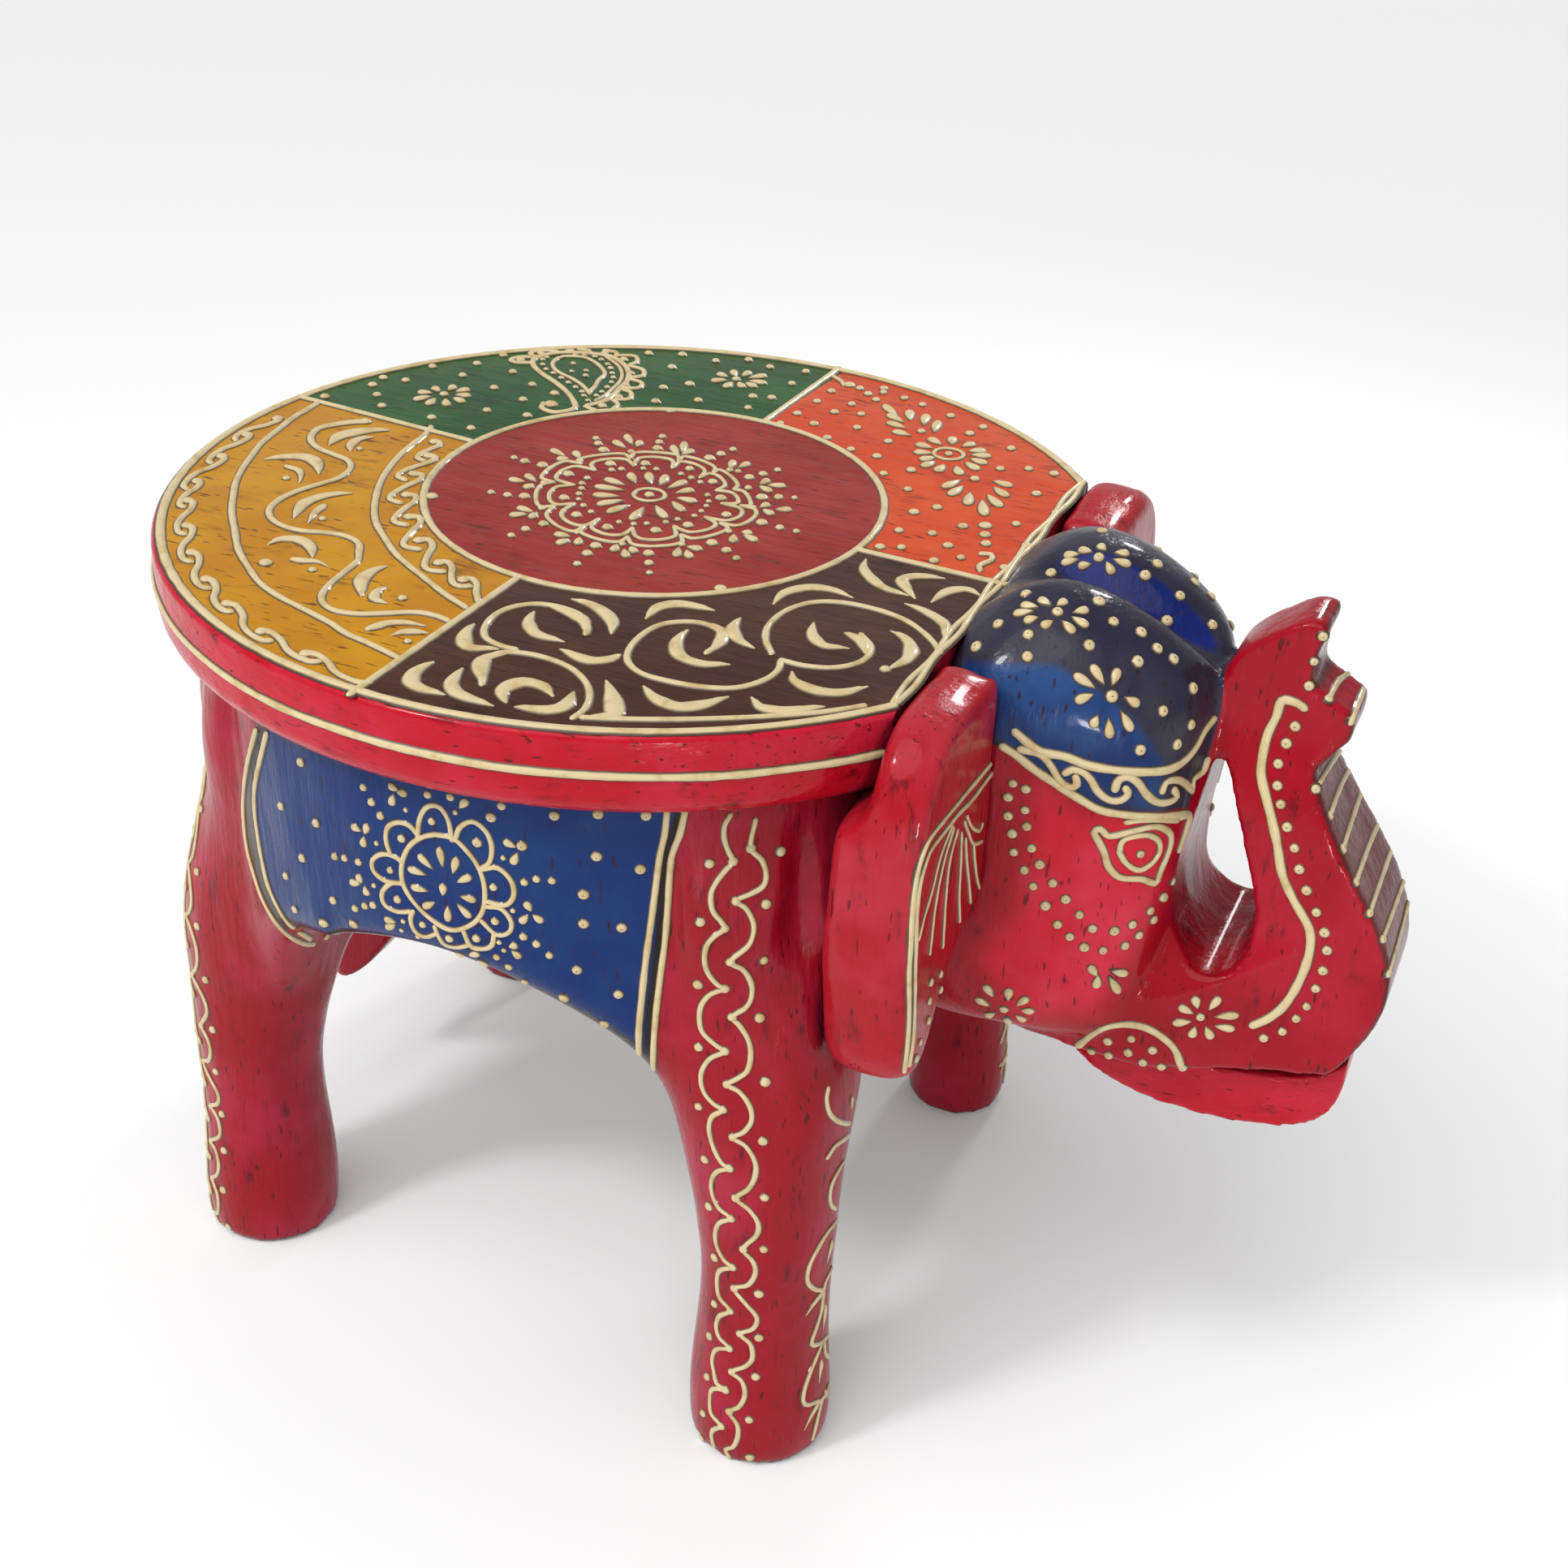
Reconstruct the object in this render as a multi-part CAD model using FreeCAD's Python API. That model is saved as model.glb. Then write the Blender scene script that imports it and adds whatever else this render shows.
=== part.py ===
import FreeCAD, Part
import math
import os

# Carved and painted wooden stool in the shape of an elephant.
# Lengths are in millimetres. The floor is at height zero, +Z is up and the head looks along +X.
# The drawing is made round the seat's centre, and at the end the whole stool is moved along X
# so that the origin lies under the middle of its overall length.

Vector = FreeCAD.Vector

# Seat: one round board of three planks, cut straight where the head begins
seat_radius = 114.5
seat_height = 203.0
seat_thickness = 20.0
seat_front_cut = 23.0
seat_edge_round = 1.6
seat_under_round = 6.5
plank_count = 3

# Body block under the seat, drawn in at the top by the seat's overhang
body_overhang = 10.0
body_draft = 2.0
body_rebate = 7.5
haunch_height = 88.0
side_arch_height = 133.5
side_arch_rear_shares = (0.0, 0.045, 0.11, 0.20, 0.34, 0.50, 0.60, 0.70, 0.80, 0.89, 0.965, 1.0)
side_arch_rise_shares = (0.0, 0.36, 0.60, 0.74, 0.885, 1.0, 0.995, 0.92, 0.79, 0.62, 0.36, 0.0)
cross_arch_height = 108.0
cross_arch_round_share = 0.7
belly_round = 7.0
haunch_wall = 5.0

# Legs: posts let into the corners of the body
front_leg_inset = 11.7
front_leg_angle = 45.5
rear_leg_inset = 14.2
rear_leg_angle = 37.1
left_rear_leg_inset = 8.0
left_rear_leg_angle = 43.6
foot_radius = 17.4
left_foot_radius = 14.4
leg_flare = 11.5
leg_notch = 18.0
ear_seat_height = 113.0
leg_shoulder_share = 0.55
leg_height_shares = (0.0, 0.045, 0.24, 0.38, 0.47, 0.55, 0.63, 0.74, 1.0)
leg_section_shares = (
    (0.97, 0.97, 0.97, 0.97, 0.97, 0.97, 0.97),
    (1.00, 1.00, 1.00, 1.00, 1.00, 1.00, 1.00),
    (0.90, 0.90, 0.90, 0.90, 0.90, 0.90, 0.90),
    (0.93, 0.93, 0.94, 1.00, 1.06, 1.08, 1.10),
    (0.95, 0.96, 0.98, 1.12, 1.28, 1.30, 1.42),
    (0.94, 0.96, 1.02, 1.26, 1.34, 1.36, 1.56),
    (0.80, 0.82, 0.96, 1.34, 1.36, 1.36, 1.62),
    (0.44, 0.52, 0.78, 1.36, 1.36, 1.36, 1.65),
    (0.10, 0.22, 0.52, 1.38, 1.36, 1.36, 1.65),
)

# Head block: skull with a crown of two domes, and the raised trunk cut from the same block
head_length = 61.6
chin_height = 101.0
crown_height = 213.0
crown_groove = 8.5
head_station_shares = (0.0, 0.13, 0.29, 0.45, 0.61, 0.76, 0.875, 0.955, 1.0)
head_width_shares = (0.97, 1.0, 0.99, 0.95, 0.89, 0.82, 0.715, 0.53, 0.25)
head_top_shares = (0.90, 0.925, 0.985, 1.0, 0.982, 0.945, 0.905, 0.865, 0.79)
head_bottom_shares = (0.02, 0.01, 0.0, 0.0, 0.0, 0.0, 0.0, 0.02, 0.10)
head_groove_shares = (0.0, 0.15, 0.6, 1.0, 1.0, 0.9, 0.7, 0.4, 0.2)
skull_side_shares = (0.42, 0.80, 0.95, 0.96, 0.93, 0.97, 1.0, 0.84, 0.46, 0.20)
skull_rise_shares = (0.0, 0.055, 0.20, 0.38, 0.54, 0.68, 0.79, 0.93, 1.0, 0.985)

# Trunk: side outline in shares of its depth and height, then tapered in plan and in front view
trunk_back = 61.9
trunk_depth = 48.6
trunk_height = 114.0
trunk_front_shares = ((0.805, 0.035), (0.938, 0.131), (0.998, 0.227), (0.961, 0.345), (0.784, 0.476),
                      (0.601, 0.592), (0.475, 0.69))
trunk_lip_shares = ((0.475, 0.69), (0.60, 0.763), (0.605, 0.812), (0.385, 0.862), (0.389, 0.925),
                    (0.424, 0.978))
trunk_top_shares = ((0.424, 0.978), (0.352, 0.99), (0.233, 0.963), (0.115, 0.925), (0.035, 0.887),
                    (0.0, 0.834))
trunk_root_shares = ((0.0, 0.834), (-0.29, 0.62), (-0.60, 0.40), (-0.70, 0.0), (0.03, 0.0), (0.805, 0.035))
window_rear_shares = ((0.035, 0.705), (0.012, 0.62), (-0.02, 0.515), (-0.045, 0.425), (-0.02, 0.318),
                      (0.14, 0.236))
window_front_shares = ((0.14, 0.236), (0.285, 0.252), (0.345, 0.335), (0.298, 0.44), (0.22, 0.53),
                       (0.136, 0.62), (0.035, 0.705))
trunk_side_inset = 11.0
trunk_plan_shares = ((-0.75, 0.78), (-0.30, 0.86), (0.0, 0.84), (0.25, 0.72), (0.50, 0.60), (0.78, 0.52),
                     (1.05, 0.48))
trunk_rise_shares = ((-0.05, 1.0), (0.10, 0.98), (0.23, 0.72), (0.34, 0.55), (0.47, 0.51), (0.58, 0.475),
                     (0.66, 0.40), (0.74, 0.31), (0.86, 0.28), (1.05, 0.23))

# Lower jaw: a small boat-shaped piece doweled under the head
jaw_back = 35.0
jaw_length = 69.5
jaw_depth = 17.5
jaw_width_share = 0.5
jaw_seat_share = 0.44
jaw_top_shares = ((0.44, 1.0), (0.52, 0.86), (0.72, 0.86), (0.93, 0.99), (1.0, 1.16))
jaw_under_shares = ((1.0, 1.16), (1.0, 0.68), (0.965, 0.30), (0.80, 0.04), (0.58, 0.0), (0.34, 0.10),
                    (0.12, 0.42), (0.0, 0.78))
jaw_plan_shares = ((-0.02, 0.55), (0.10, 0.90), (0.35, 1.0), (0.65, 0.86), (0.88, 0.66), (1.02, 0.36))

# Ears: thick flat lobes beside the head, in front of the body
ear_thickness = 21.0
left_ear_thickness = 24.0
ear_spread = 45.0
ear_drop = 88.0
ear_rise = 1.0
ear_depth_shares = (0.0, 0.18, 0.50, 0.82, 1.0)
ear_inset_shares = (0.93, 0.985, 1.0, 0.985, 0.93)
ear_outline_shares = ((0.0, 0.0), (0.40, 0.0), (0.74, 0.022), (0.92, 0.12), (1.0, 0.28), (1.0, 0.48),
                      (0.96, 0.70), (0.90, 0.86), (0.79, 0.985), (0.66, 0.955), (0.50, 0.84), (0.26, 0.74),
                      (-0.12, 0.66))

# Tail: a flat tongue housed in the rump
tail_half_width = 6.0
tail_housing = 7.0
tail_top = 172.0
tail_tip = 37.5
tail_proud = 3.5
tail_outline_shares = ((0.0, 1.0), (0.0, 0.76), (0.08, 0.52), (0.19, 0.28), (0.275, 0.08), (0.34, 0.0),
                       (0.45, 0.022), (0.60, 0.08), (0.73, 0.145), (0.90, 0.28), (1.0, 0.52))
tail_reach = 46.0

# Dowels, glued in blind holes
dowel_clearance = 0.1
glue_space = 0.5
seat_dowel_radius = 4.0
seat_dowel_depth = 12.0
seat_dowel_tail = 20.0
seat_dowel_wall = 6.5
seat_dowel_side_share = 0.8
plank_dowel_radius = 3.0
plank_dowel_depth = 18.0
plank_dowel_pitch = 55.0
leg_dowel_radius = 4.0
leg_dowel_depth = 13.0
leg_dowel_rise = 30.0
leg_dowel_inset = 9.5
head_dowel_radius = 5.0
head_dowel_depth = 24.0
head_dowel_spread_share = 0.49
head_dowel_low = 30.0
head_dowel_high = 64.0
ear_dowel_radius = 3.5
ear_dowel_depth = 13.0
ear_dowel_inset = 7.0
ear_seat_width = 14.3
ear_dowel_low = 50.0
ear_dowel_pitch = 20.0
jaw_dowel_radius = 3.0
jaw_dowel_depth = 8.0
jaw_dowel_first = 10.0
jaw_dowel_pitch = 13.0
tail_dowel_radius = 2.0
tail_dowel_depth = 8.0
tail_dowel_pitch = 30.0
tail_dowel_share = 0.75

# Heights and planes that several pieces share
overrun = 5.0
seat_under = seat_height - seat_thickness
seat_front = seat_radius - seat_front_cut
body_front = seat_front - body_rebate
body_top_radius = seat_radius - body_overhang
body_low_radius = body_top_radius - body_draft
sides = (("right", -1), ("left", 1))


def leg_place(x_sign, side):
    # Middle of a foot, as distances in front of or behind the seat's centre and beside it.
    inset, angle = rear_leg_inset, rear_leg_angle
    if x_sign > 0:
        inset, angle = front_leg_inset, front_leg_angle
    elif side > 0:
        inset, angle = left_rear_leg_inset, left_rear_leg_angle
    reach = seat_radius - inset
    return reach * math.cos(math.radians(angle)), reach * math.sin(math.radians(angle))


def notch_place(x_sign, side):
    x_place, y_place = leg_place(x_sign, side)
    return x_place - leg_notch, y_place - leg_notch


front_notch_x, front_notch_y = notch_place(1, -1)
rear_notch_x, rear_notch_y = notch_place(-1, -1)
leg_bore_end = front_notch_x - leg_dowel_depth - glue_space
seat_dowel_row = leg_bore_end - seat_dowel_wall - seat_dowel_radius - dowel_clearance
head_half_width = front_notch_y - ear_seat_width
trunk_half_width = head_half_width - trunk_side_inset
jaw_half_width = trunk_half_width * jaw_width_share


def wire_of(edges):
    return Part.Wire(edges)


def curve(points, closed=False):
    line = Part.BSplineCurve()
    line.interpolate(points, PeriodicFlag=closed)
    return line.toShape()


def polyline(points):
    return Part.makePolygon(points).Edges


def box(x_low, x_high, y_low, y_high, z_low, z_high):
    corner = Vector(x_low, y_low, z_low)
    return Part.makeBox(x_high - x_low, y_high - y_low, z_high - z_low, corner)


def rod(radius, start, direction, length):
    return Part.makeCylinder(radius, length, start, direction)


def dowel_and_bore(radius, middle, direction, depth_before, depth_after):
    # One dowel and the hole it is glued in, both centred on the joint at "middle".
    start = middle - direction * depth_before
    bore_start = start - direction * glue_space
    dowel = rod(radius, start, direction, depth_before + depth_after)
    bore = rod(radius + dowel_clearance, bore_start, direction, depth_before + depth_after + glue_space * 2)
    return dowel, bore


def mirrored(shape):
    return shape.mirror(Vector(0, 0, 0), Vector(0, 1, 0))


# Places of all dowels, worked out once and used by both pieces of each joint
def seat_dowels():
    pairs = []
    plank_width = seat_radius * 2 / plank_count
    for x_place in (-seat_dowel_row, seat_dowel_row):
        for side in (-1, 0, 1):
            middle = Vector(x_place, side * plank_width * seat_dowel_side_share, seat_under)
            upward = Vector(0, 0, 1)
            pairs.append(dowel_and_bore(seat_dowel_radius, middle, upward, seat_dowel_tail,
                                        seat_dowel_depth))
    return pairs


def plank_dowels():
    pairs = []
    plank_width = seat_radius * 2 / plank_count
    for joint in (-1, 1):
        for step in (-1, 0, 1):
            height = seat_height - seat_thickness / 2
            middle = Vector(step * plank_dowel_pitch, joint * plank_width / 2, height)
            across = Vector(0, 1, 0)
            pairs.append(dowel_and_bore(plank_dowel_radius, middle, across, plank_dowel_depth,
                                        plank_dowel_depth))
    return pairs


def leg_dowels():
    pairs = []
    for x_sign in (1, -1):
        for side_name, side in sides:
            notch_x, notch_y = notch_place(x_sign, side)
            for step in (1, 2):
                height = seat_under - step * leg_dowel_rise + leg_dowel_rise / 2
                across = leg_place(x_sign, side)[1] - leg_dowel_inset
                middle = Vector(x_sign * notch_x, side * across, height)
                along = Vector(1, 0, 0)
                pairs.append(dowel_and_bore(leg_dowel_radius, middle, along, leg_dowel_depth,
                                            leg_dowel_depth))
    return pairs


def head_dowels():
    pairs = []
    for side, rise in ((-1, head_dowel_high), (1, head_dowel_high), (0, head_dowel_low)):
        middle = Vector(body_front, side * head_half_width * head_dowel_spread_share, chin_height + rise)
        along = Vector(1, 0, 0)
        pairs.append(dowel_and_bore(head_dowel_radius, middle, along, head_dowel_depth, head_dowel_depth))
    return pairs


def ear_dowels():
    pairs = []
    for side in (-1, 1):
        for step in (0, 1):
            height = chin_height + ear_dowel_low + step * ear_dowel_pitch
            middle = Vector(body_front, side * (front_notch_y - ear_dowel_inset), height)
            along = Vector(1, 0, 0)
            pairs.append(dowel_and_bore(ear_dowel_radius, middle, along, ear_dowel_depth, ear_dowel_depth))
    return pairs


def jaw_dowels():
    pairs = []
    for step in (0, 1):
        middle = Vector(body_front + jaw_back + jaw_dowel_first + step * jaw_dowel_pitch, 0, chin_height)
        upward = Vector(0, 0, 1)
        pairs.append(dowel_and_bore(jaw_dowel_radius, middle, upward, jaw_dowel_depth, jaw_dowel_depth))
    return pairs


def tail_dowels():
    pairs = []
    for step in (0, 1):
        height = cross_arch_height + tail_dowel_pitch / 2 + step * tail_dowel_pitch
        middle = Vector(tail_housing - body_top_radius, 0, height)
        along = Vector(1, 0, 0)
        in_tail = tail_dowel_depth * tail_dowel_share
        pairs.append(dowel_and_bore(tail_dowel_radius, middle, along, in_tail, tail_dowel_depth))
    return pairs


def bored(shape, *groups):
    # A piece with the holes of the given dowel groups that reach it.
    for group in groups:
        for dowel, bore in group:
            if bore.BoundBox.intersect(shape.BoundBox):
                shape = shape.cut(bore)
    return shape


def rods_of(group):
    return Part.makeCompound([dowel for dowel, bore in group])


# Seat: a turned disc with its lower edge rounded under, sawn straight in front
def make_seat():
    top = Vector(0, 0, seat_height)
    low = Vector(0, 0, seat_under)
    shoulder = Vector(seat_radius - seat_edge_round, 0, seat_height)
    edge_top = Vector(seat_radius, 0, seat_height - seat_edge_round)
    edge_low = Vector(seat_radius, 0, seat_under + seat_under_round)
    foot = Vector(seat_radius - seat_under_round, 0, seat_under)
    bend = math.sqrt(0.5)
    top_ease = seat_edge_round * (1 - bend)
    low_ease = seat_under_round * (1 - bend)
    top_bend = Vector(seat_radius - top_ease, 0, seat_height - top_ease)
    low_bend = Vector(seat_radius - low_ease, 0, seat_under + low_ease)
    edges = polyline([low, top, shoulder])
    edges.append(Part.Arc(shoulder, top_bend, edge_top).toShape())
    edges += polyline([edge_top, edge_low])
    edges.append(Part.Arc(edge_low, low_bend, foot).toShape())
    edges += polyline([foot, low])
    disc = Part.Face(wire_of(edges)).revolve(Vector(0, 0, 0), Vector(0, 0, 1), 360)
    far = seat_radius + overrun
    return disc.cut(box(seat_front, far, -far, far, seat_under - overrun, seat_height + overrun))


def make_seat_planks():
    seat = bored(make_seat(), seat_dowels(), plank_dowels())
    width = seat_radius * 2 / plank_count
    far = seat_radius + overrun
    planks = []
    for number in range(plank_count):
        low = width * number - seat_radius
        slab = box(-far, far, low, low + width, seat_under - overrun, seat_height + overrun)
        planks.append(seat.common(slab))
    return planks


# Body block: a drafted round block with arches sawn between the legs
def side_arch_cutter():
    spring_rear = -rear_notch_x + haunch_wall
    spring_front = front_notch_x - haunch_wall
    points = []
    for along, rise in zip(side_arch_rear_shares, side_arch_rise_shares):
        x_place = spring_rear + (spring_front - spring_rear) * along
        height = haunch_height + (side_arch_height - haunch_height) * rise
        points.append(Vector(x_place, -seat_radius, height))
    sill = haunch_height - overrun
    edges = [curve(points)]
    edges += polyline([points[-1], Vector(spring_front, -seat_radius, sill),
                       Vector(spring_rear, -seat_radius, sill), points[0]])
    return Part.Face(wire_of(edges)).extrude(Vector(0, seat_radius * 2, 0))


def cross_arch_cutter(x_low, x_high, half_width):
    block = box(x_low, x_high, -half_width, half_width, haunch_height - overrun, cross_arch_height)
    rims = []
    for edge in block.Edges:
        middle = edge.CenterOfMass
        if abs(middle.z - cross_arch_height) < dowel_clearance and abs(middle.y) > half_width / 2:
            rims.append(edge)
    return block.makeFillet((cross_arch_height - haunch_height) * cross_arch_round_share, rims)


def leg_notch_box(x_sign, side):
    far = seat_radius
    notch_x, notch_y = notch_place(x_sign, side)
    x_ends = sorted((x_sign * notch_x, x_sign * far))
    y_ends = sorted((side * notch_y, side * far))
    return box(x_ends[0], x_ends[1], y_ends[0], y_ends[1], haunch_height - overrun, seat_under + overrun)


def make_body():
    rise = seat_under - haunch_height
    cone = Part.makeCone(body_low_radius, body_top_radius, rise, Vector(0, 0, haunch_height))
    far = seat_radius
    body = cone.cut(box(body_front, far, -far, far, haunch_height - overrun, seat_under + overrun))
    body = body.cut(side_arch_cutter())
    rims = []
    for edge in body.Edges:
        within = haunch_height + overrun < edge.BoundBox.ZMax < seat_under - overrun
        if within and abs(edge.CenterOfMass.y) > body_low_radius / 2:
            rims.append(edge)
    body = body.makeFillet(belly_round, rims)
    body = body.cut(cross_arch_cutter(front_notch_x - haunch_wall * 2, far, front_notch_y - haunch_wall))
    body = body.cut(cross_arch_cutter(-far, haunch_wall * 2 - rear_notch_x, rear_notch_y - haunch_wall))
    for x_sign in (-1, 1):
        for side in (-1, 1):
            body = body.cut(leg_notch_box(x_sign, side))
    housing_back = tail_housing - body_top_radius
    low = haunch_height - overrun
    body = body.cut(box(-far, housing_back, -tail_half_width, tail_half_width, low, tail_top))
    return bored(body, seat_dowels(), leg_dowels(), head_dowels(), ear_dowels(), tail_dowels())


# Legs: a post lofted from the round foot to the corner of the body
def leg_section(x_place, y_place, radius, height, shares):
    outward = math.atan2(y_place, x_place)
    count = (len(shares) - 1) * 2
    points = []
    for step in range(count):
        share = shares[min(step, count - step)]
        angle = outward + math.tau * step / count
        reach = radius * share
        points.append(Vector(x_place + math.cos(angle) * reach, y_place + math.sin(angle) * reach, height))
    return wire_of([curve(points, True)])


def make_leg(x_sign, side):
    x_place, y_place = leg_place(x_sign, side)
    x_place = x_place * x_sign
    slimmer = 0 if side < 0 else foot_radius - left_foot_radius
    sections = []
    for height_share, shares in zip(leg_height_shares, leg_section_shares):
        filled = min(1, height_share / leg_shoulder_share) ** 2
        radius = foot_radius - slimmer * (1 - filled)
        sections.append(leg_section(x_place, y_place, radius, seat_under * height_share, shares))
    leg = Part.makeLoft(sections, True, False)
    far = seat_radius
    rise = seat_under - ear_seat_height
    flare = Part.makeCone(body_top_radius + leg_flare, body_top_radius, rise, Vector(0, 0, ear_seat_height))
    leg = leg.cut(rod(seat_radius * 2, Vector(0, 0, ear_seat_height), Vector(0, 0, 1), rise).cut(flare))
    notch_x, notch_y = notch_place(x_sign, side)
    x_ends = sorted((-x_sign * far, x_sign * notch_x))
    leg = leg.cut(box(x_ends[0], x_ends[1], -far, far, haunch_height, seat_under + overrun))
    if x_sign > 0:
        leg = leg.cut(box(body_front, far, -far, far, ear_seat_height, seat_under + overrun))
    leg = leg.cut(box(-far, far, -far, notch_y, haunch_height, seat_under + overrun))
    if side < 0:
        leg = mirrored(leg)
    return bored(leg, leg_dowels())


# Head: skull lofted through cross sections, trunk sawn in profile, window cut between them
def skull_section(station):
    x_place = body_front + head_length * head_station_shares[station]
    half = head_half_width * head_width_shares[station]
    full = crown_height - chin_height
    low = chin_height + full * head_bottom_shares[station]
    high = chin_height + full * head_top_shares[station]
    groove = crown_groove * head_groove_shares[station]
    right = []
    for side_share, rise_share in zip(skull_side_shares, skull_rise_shares):
        right.append(Vector(x_place, half * side_share, low + (high - low) * rise_share))
    left = [Vector(point.x, -point.y, point.z) for point in reversed(right)]
    points = [Vector(x_place, 0, low)] + right + [Vector(x_place, 0, high - groove)] + left
    return wire_of([curve(points, True)])


def trunk_point(shares, across):
    x_place = body_front + trunk_back + trunk_depth * shares[0]
    return Vector(x_place, across, chin_height + trunk_height * shares[1])


def trunk_profile():
    across = -head_half_width
    edges = [curve([trunk_point(pair, across) for pair in trunk_front_shares])]
    edges += polyline([trunk_point(pair, across) for pair in trunk_lip_shares])
    edges.append(curve([trunk_point(pair, across) for pair in trunk_top_shares]))
    edges += polyline([trunk_point(pair, across) for pair in trunk_root_shares])
    return Part.Face(wire_of(edges)).extrude(Vector(0, head_half_width * 2, 0))


def tapered_slab(low_edge, high_edge, push):
    edges = [curve(low_edge)]
    edges += polyline([low_edge[-1], high_edge[-1]])
    edges.append(curve(list(reversed(high_edge))))
    edges += polyline([high_edge[0], low_edge[0]])
    return Part.Face(wire_of(edges)).extrude(push)


def trunk_plan():
    base = chin_height - overrun
    right = []
    for along, half in trunk_plan_shares:
        x_place = trunk_point((along, 0), 0).x
        right.append(Vector(x_place, trunk_half_width * half, base))
    left = [Vector(point.x, -point.y, point.z) for point in right]
    return tapered_slab(left, right, Vector(0, 0, trunk_height + overrun * 2))


def trunk_front_view():
    start = body_front
    right = []
    for rise, half in trunk_rise_shares:
        right.append(Vector(start, trunk_half_width * half, chin_height + trunk_height * rise))
    left = [Vector(point.x, -point.y, point.z) for point in right]
    return tapered_slab(left, right, Vector(trunk_back + trunk_depth + overrun, 0, 0))


def make_head():
    sections = [skull_section(number) for number in range(len(head_station_shares))]
    skull = Part.makeLoft(sections, True, False)
    trunk = trunk_profile().common(trunk_plan()).common(trunk_front_view())
    head = skull.fuse(trunk)
    edges = [curve([trunk_point(pair, -head_half_width) for pair in window_rear_shares]),
             curve([trunk_point(pair, -head_half_width) for pair in window_front_shares])]
    head = head.cut(Part.Face(wire_of(edges)).extrude(Vector(0, head_half_width * 2, 0)))
    far = head_half_width + overrun
    head = head.cut(box(body_front - overrun, seat_front, -far, far, seat_under, crown_height + overrun))
    trim = head_half_width * 2
    trunk_start = trunk_point((0, 0), 0).x
    head = head.cut(box(body_front, trunk_start, -trim, trim, chin_height - overrun * 2, chin_height))
    return bored(head, head_dowels(), jaw_dowels())


# Lower jaw: flat where it is glued to the head, then a curved lip
def jaw_point(shares, across):
    x_place = body_front + jaw_back + jaw_length * shares[0]
    return Vector(x_place, across, chin_height - jaw_depth + jaw_depth * shares[1])


def make_jaw():
    across = -jaw_half_width
    start = jaw_point((0, 1), across)
    seat_end = jaw_point((jaw_seat_share, 1), across)
    edges = polyline([start, seat_end])
    edges.append(curve([jaw_point(pair, across) for pair in jaw_top_shares]))
    edges.append(curve([jaw_point(pair, across) for pair in jaw_under_shares]))
    edges += polyline([jaw_point(jaw_under_shares[-1], across), start])
    side_view = Part.Face(wire_of(edges)).extrude(Vector(0, jaw_half_width * 2, 0))
    right = []
    for along, half in jaw_plan_shares:
        point = jaw_point((along, 0), jaw_half_width * half)
        right.append(Vector(point.x, point.y, point.z - overrun))
    left = [Vector(point.x, -point.y, point.z) for point in right]
    plan = tapered_slab(left, right, Vector(0, 0, jaw_depth * 2 + overrun))
    return bored(side_view.common(plan), jaw_dowels())


# Ears: lobes sawn from a thick board, edges rounded, coped to the side of the head
def make_ear(side, head):
    top = seat_height + ear_rise
    thickness = ear_thickness if side < 0 else left_ear_thickness
    sections = []
    for through, inset in zip(ear_depth_shares, ear_inset_shares):
        points = []
        for across, drop in ear_outline_shares:
            middle_drop = ear_drop / 2 + (ear_drop * drop - ear_drop / 2) * inset
            points.append(Vector(body_front + thickness * through,
                                 head_half_width + ear_spread * across * inset, top - middle_drop))
        sections.append(wire_of([curve(points)] + polyline([points[-1], points[0]])))
    ear = Part.makeLoft(sections, True, False)
    far = head_half_width + ear_spread + overrun
    ear = ear.cut(box(body_front - overrun, seat_front, -far, far, seat_under, seat_height + overrun))
    ear = ear.cut(head)
    if side < 0:
        ear = mirrored(ear)
    return bored(ear, ear_dowels())


# Tail: flat tongue let into the rump, its free end hanging between the rear legs
def make_tail():
    back = tail_housing - body_top_radius
    rear = -body_top_radius - tail_proud
    points = []
    for along, rise in tail_outline_shares:
        height = tail_tip + (tail_top - tail_tip) * rise
        points.append(Vector(rear + tail_reach * along, -tail_half_width, height))
    edges = [curve(points)]
    end = points[-1]
    edges += polyline([end, Vector(end.x, -tail_half_width, cross_arch_height),
                       Vector(back, -tail_half_width, cross_arch_height),
                       Vector(back, -tail_half_width, tail_top), points[0]])
    tail = Part.Face(wire_of(edges)).extrude(Vector(0, tail_half_width * 2, 0))
    return bored(tail, tail_dowels())


def main():
    os.makedirs("parts", exist_ok=True)
    pieces = {}
    names = ("seat_plank_right", "seat_plank_middle", "seat_plank_left")
    for name, plank in zip(names, make_seat_planks()):
        pieces[name] = plank
    pieces["body_block"] = make_body()
    for side_name, side in sides:
        pieces["leg_front_" + side_name] = make_leg(1, side)
        pieces["leg_rear_" + side_name] = make_leg(-1, side)
    pieces["head_block"] = make_head()
    pieces["lower_jaw"] = make_jaw()
    for side_name, side in sides:
        pieces["ear_" + side_name] = make_ear(side, pieces["head_block"])
    pieces["tail"] = make_tail()
    pieces["seat_dowels"] = rods_of(seat_dowels())
    pieces["plank_dowels"] = rods_of(plank_dowels())
    pieces["leg_dowels"] = rods_of(leg_dowels())
    pieces["head_dowels"] = rods_of(head_dowels())
    pieces["ear_dowels"] = rods_of(ear_dowels())
    pieces["jaw_dowels"] = rods_of(jaw_dowels())
    pieces["tail_dowels"] = rods_of(tail_dowels())
    foremost = pieces["head_block"].optimalBoundingBox(False, False).XMax
    shift = Vector((seat_radius - foremost) / 2, 0, 0)
    for name, shape in pieces.items():
        shape.translate(shift)
        shape.exportStep("parts/" + name + ".step")
        print(name, shape.isValid(), len(shape.Solids), round(shape.Volume), shape.BoundBox)
    print("moved along X by", shift.x)


main()
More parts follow.
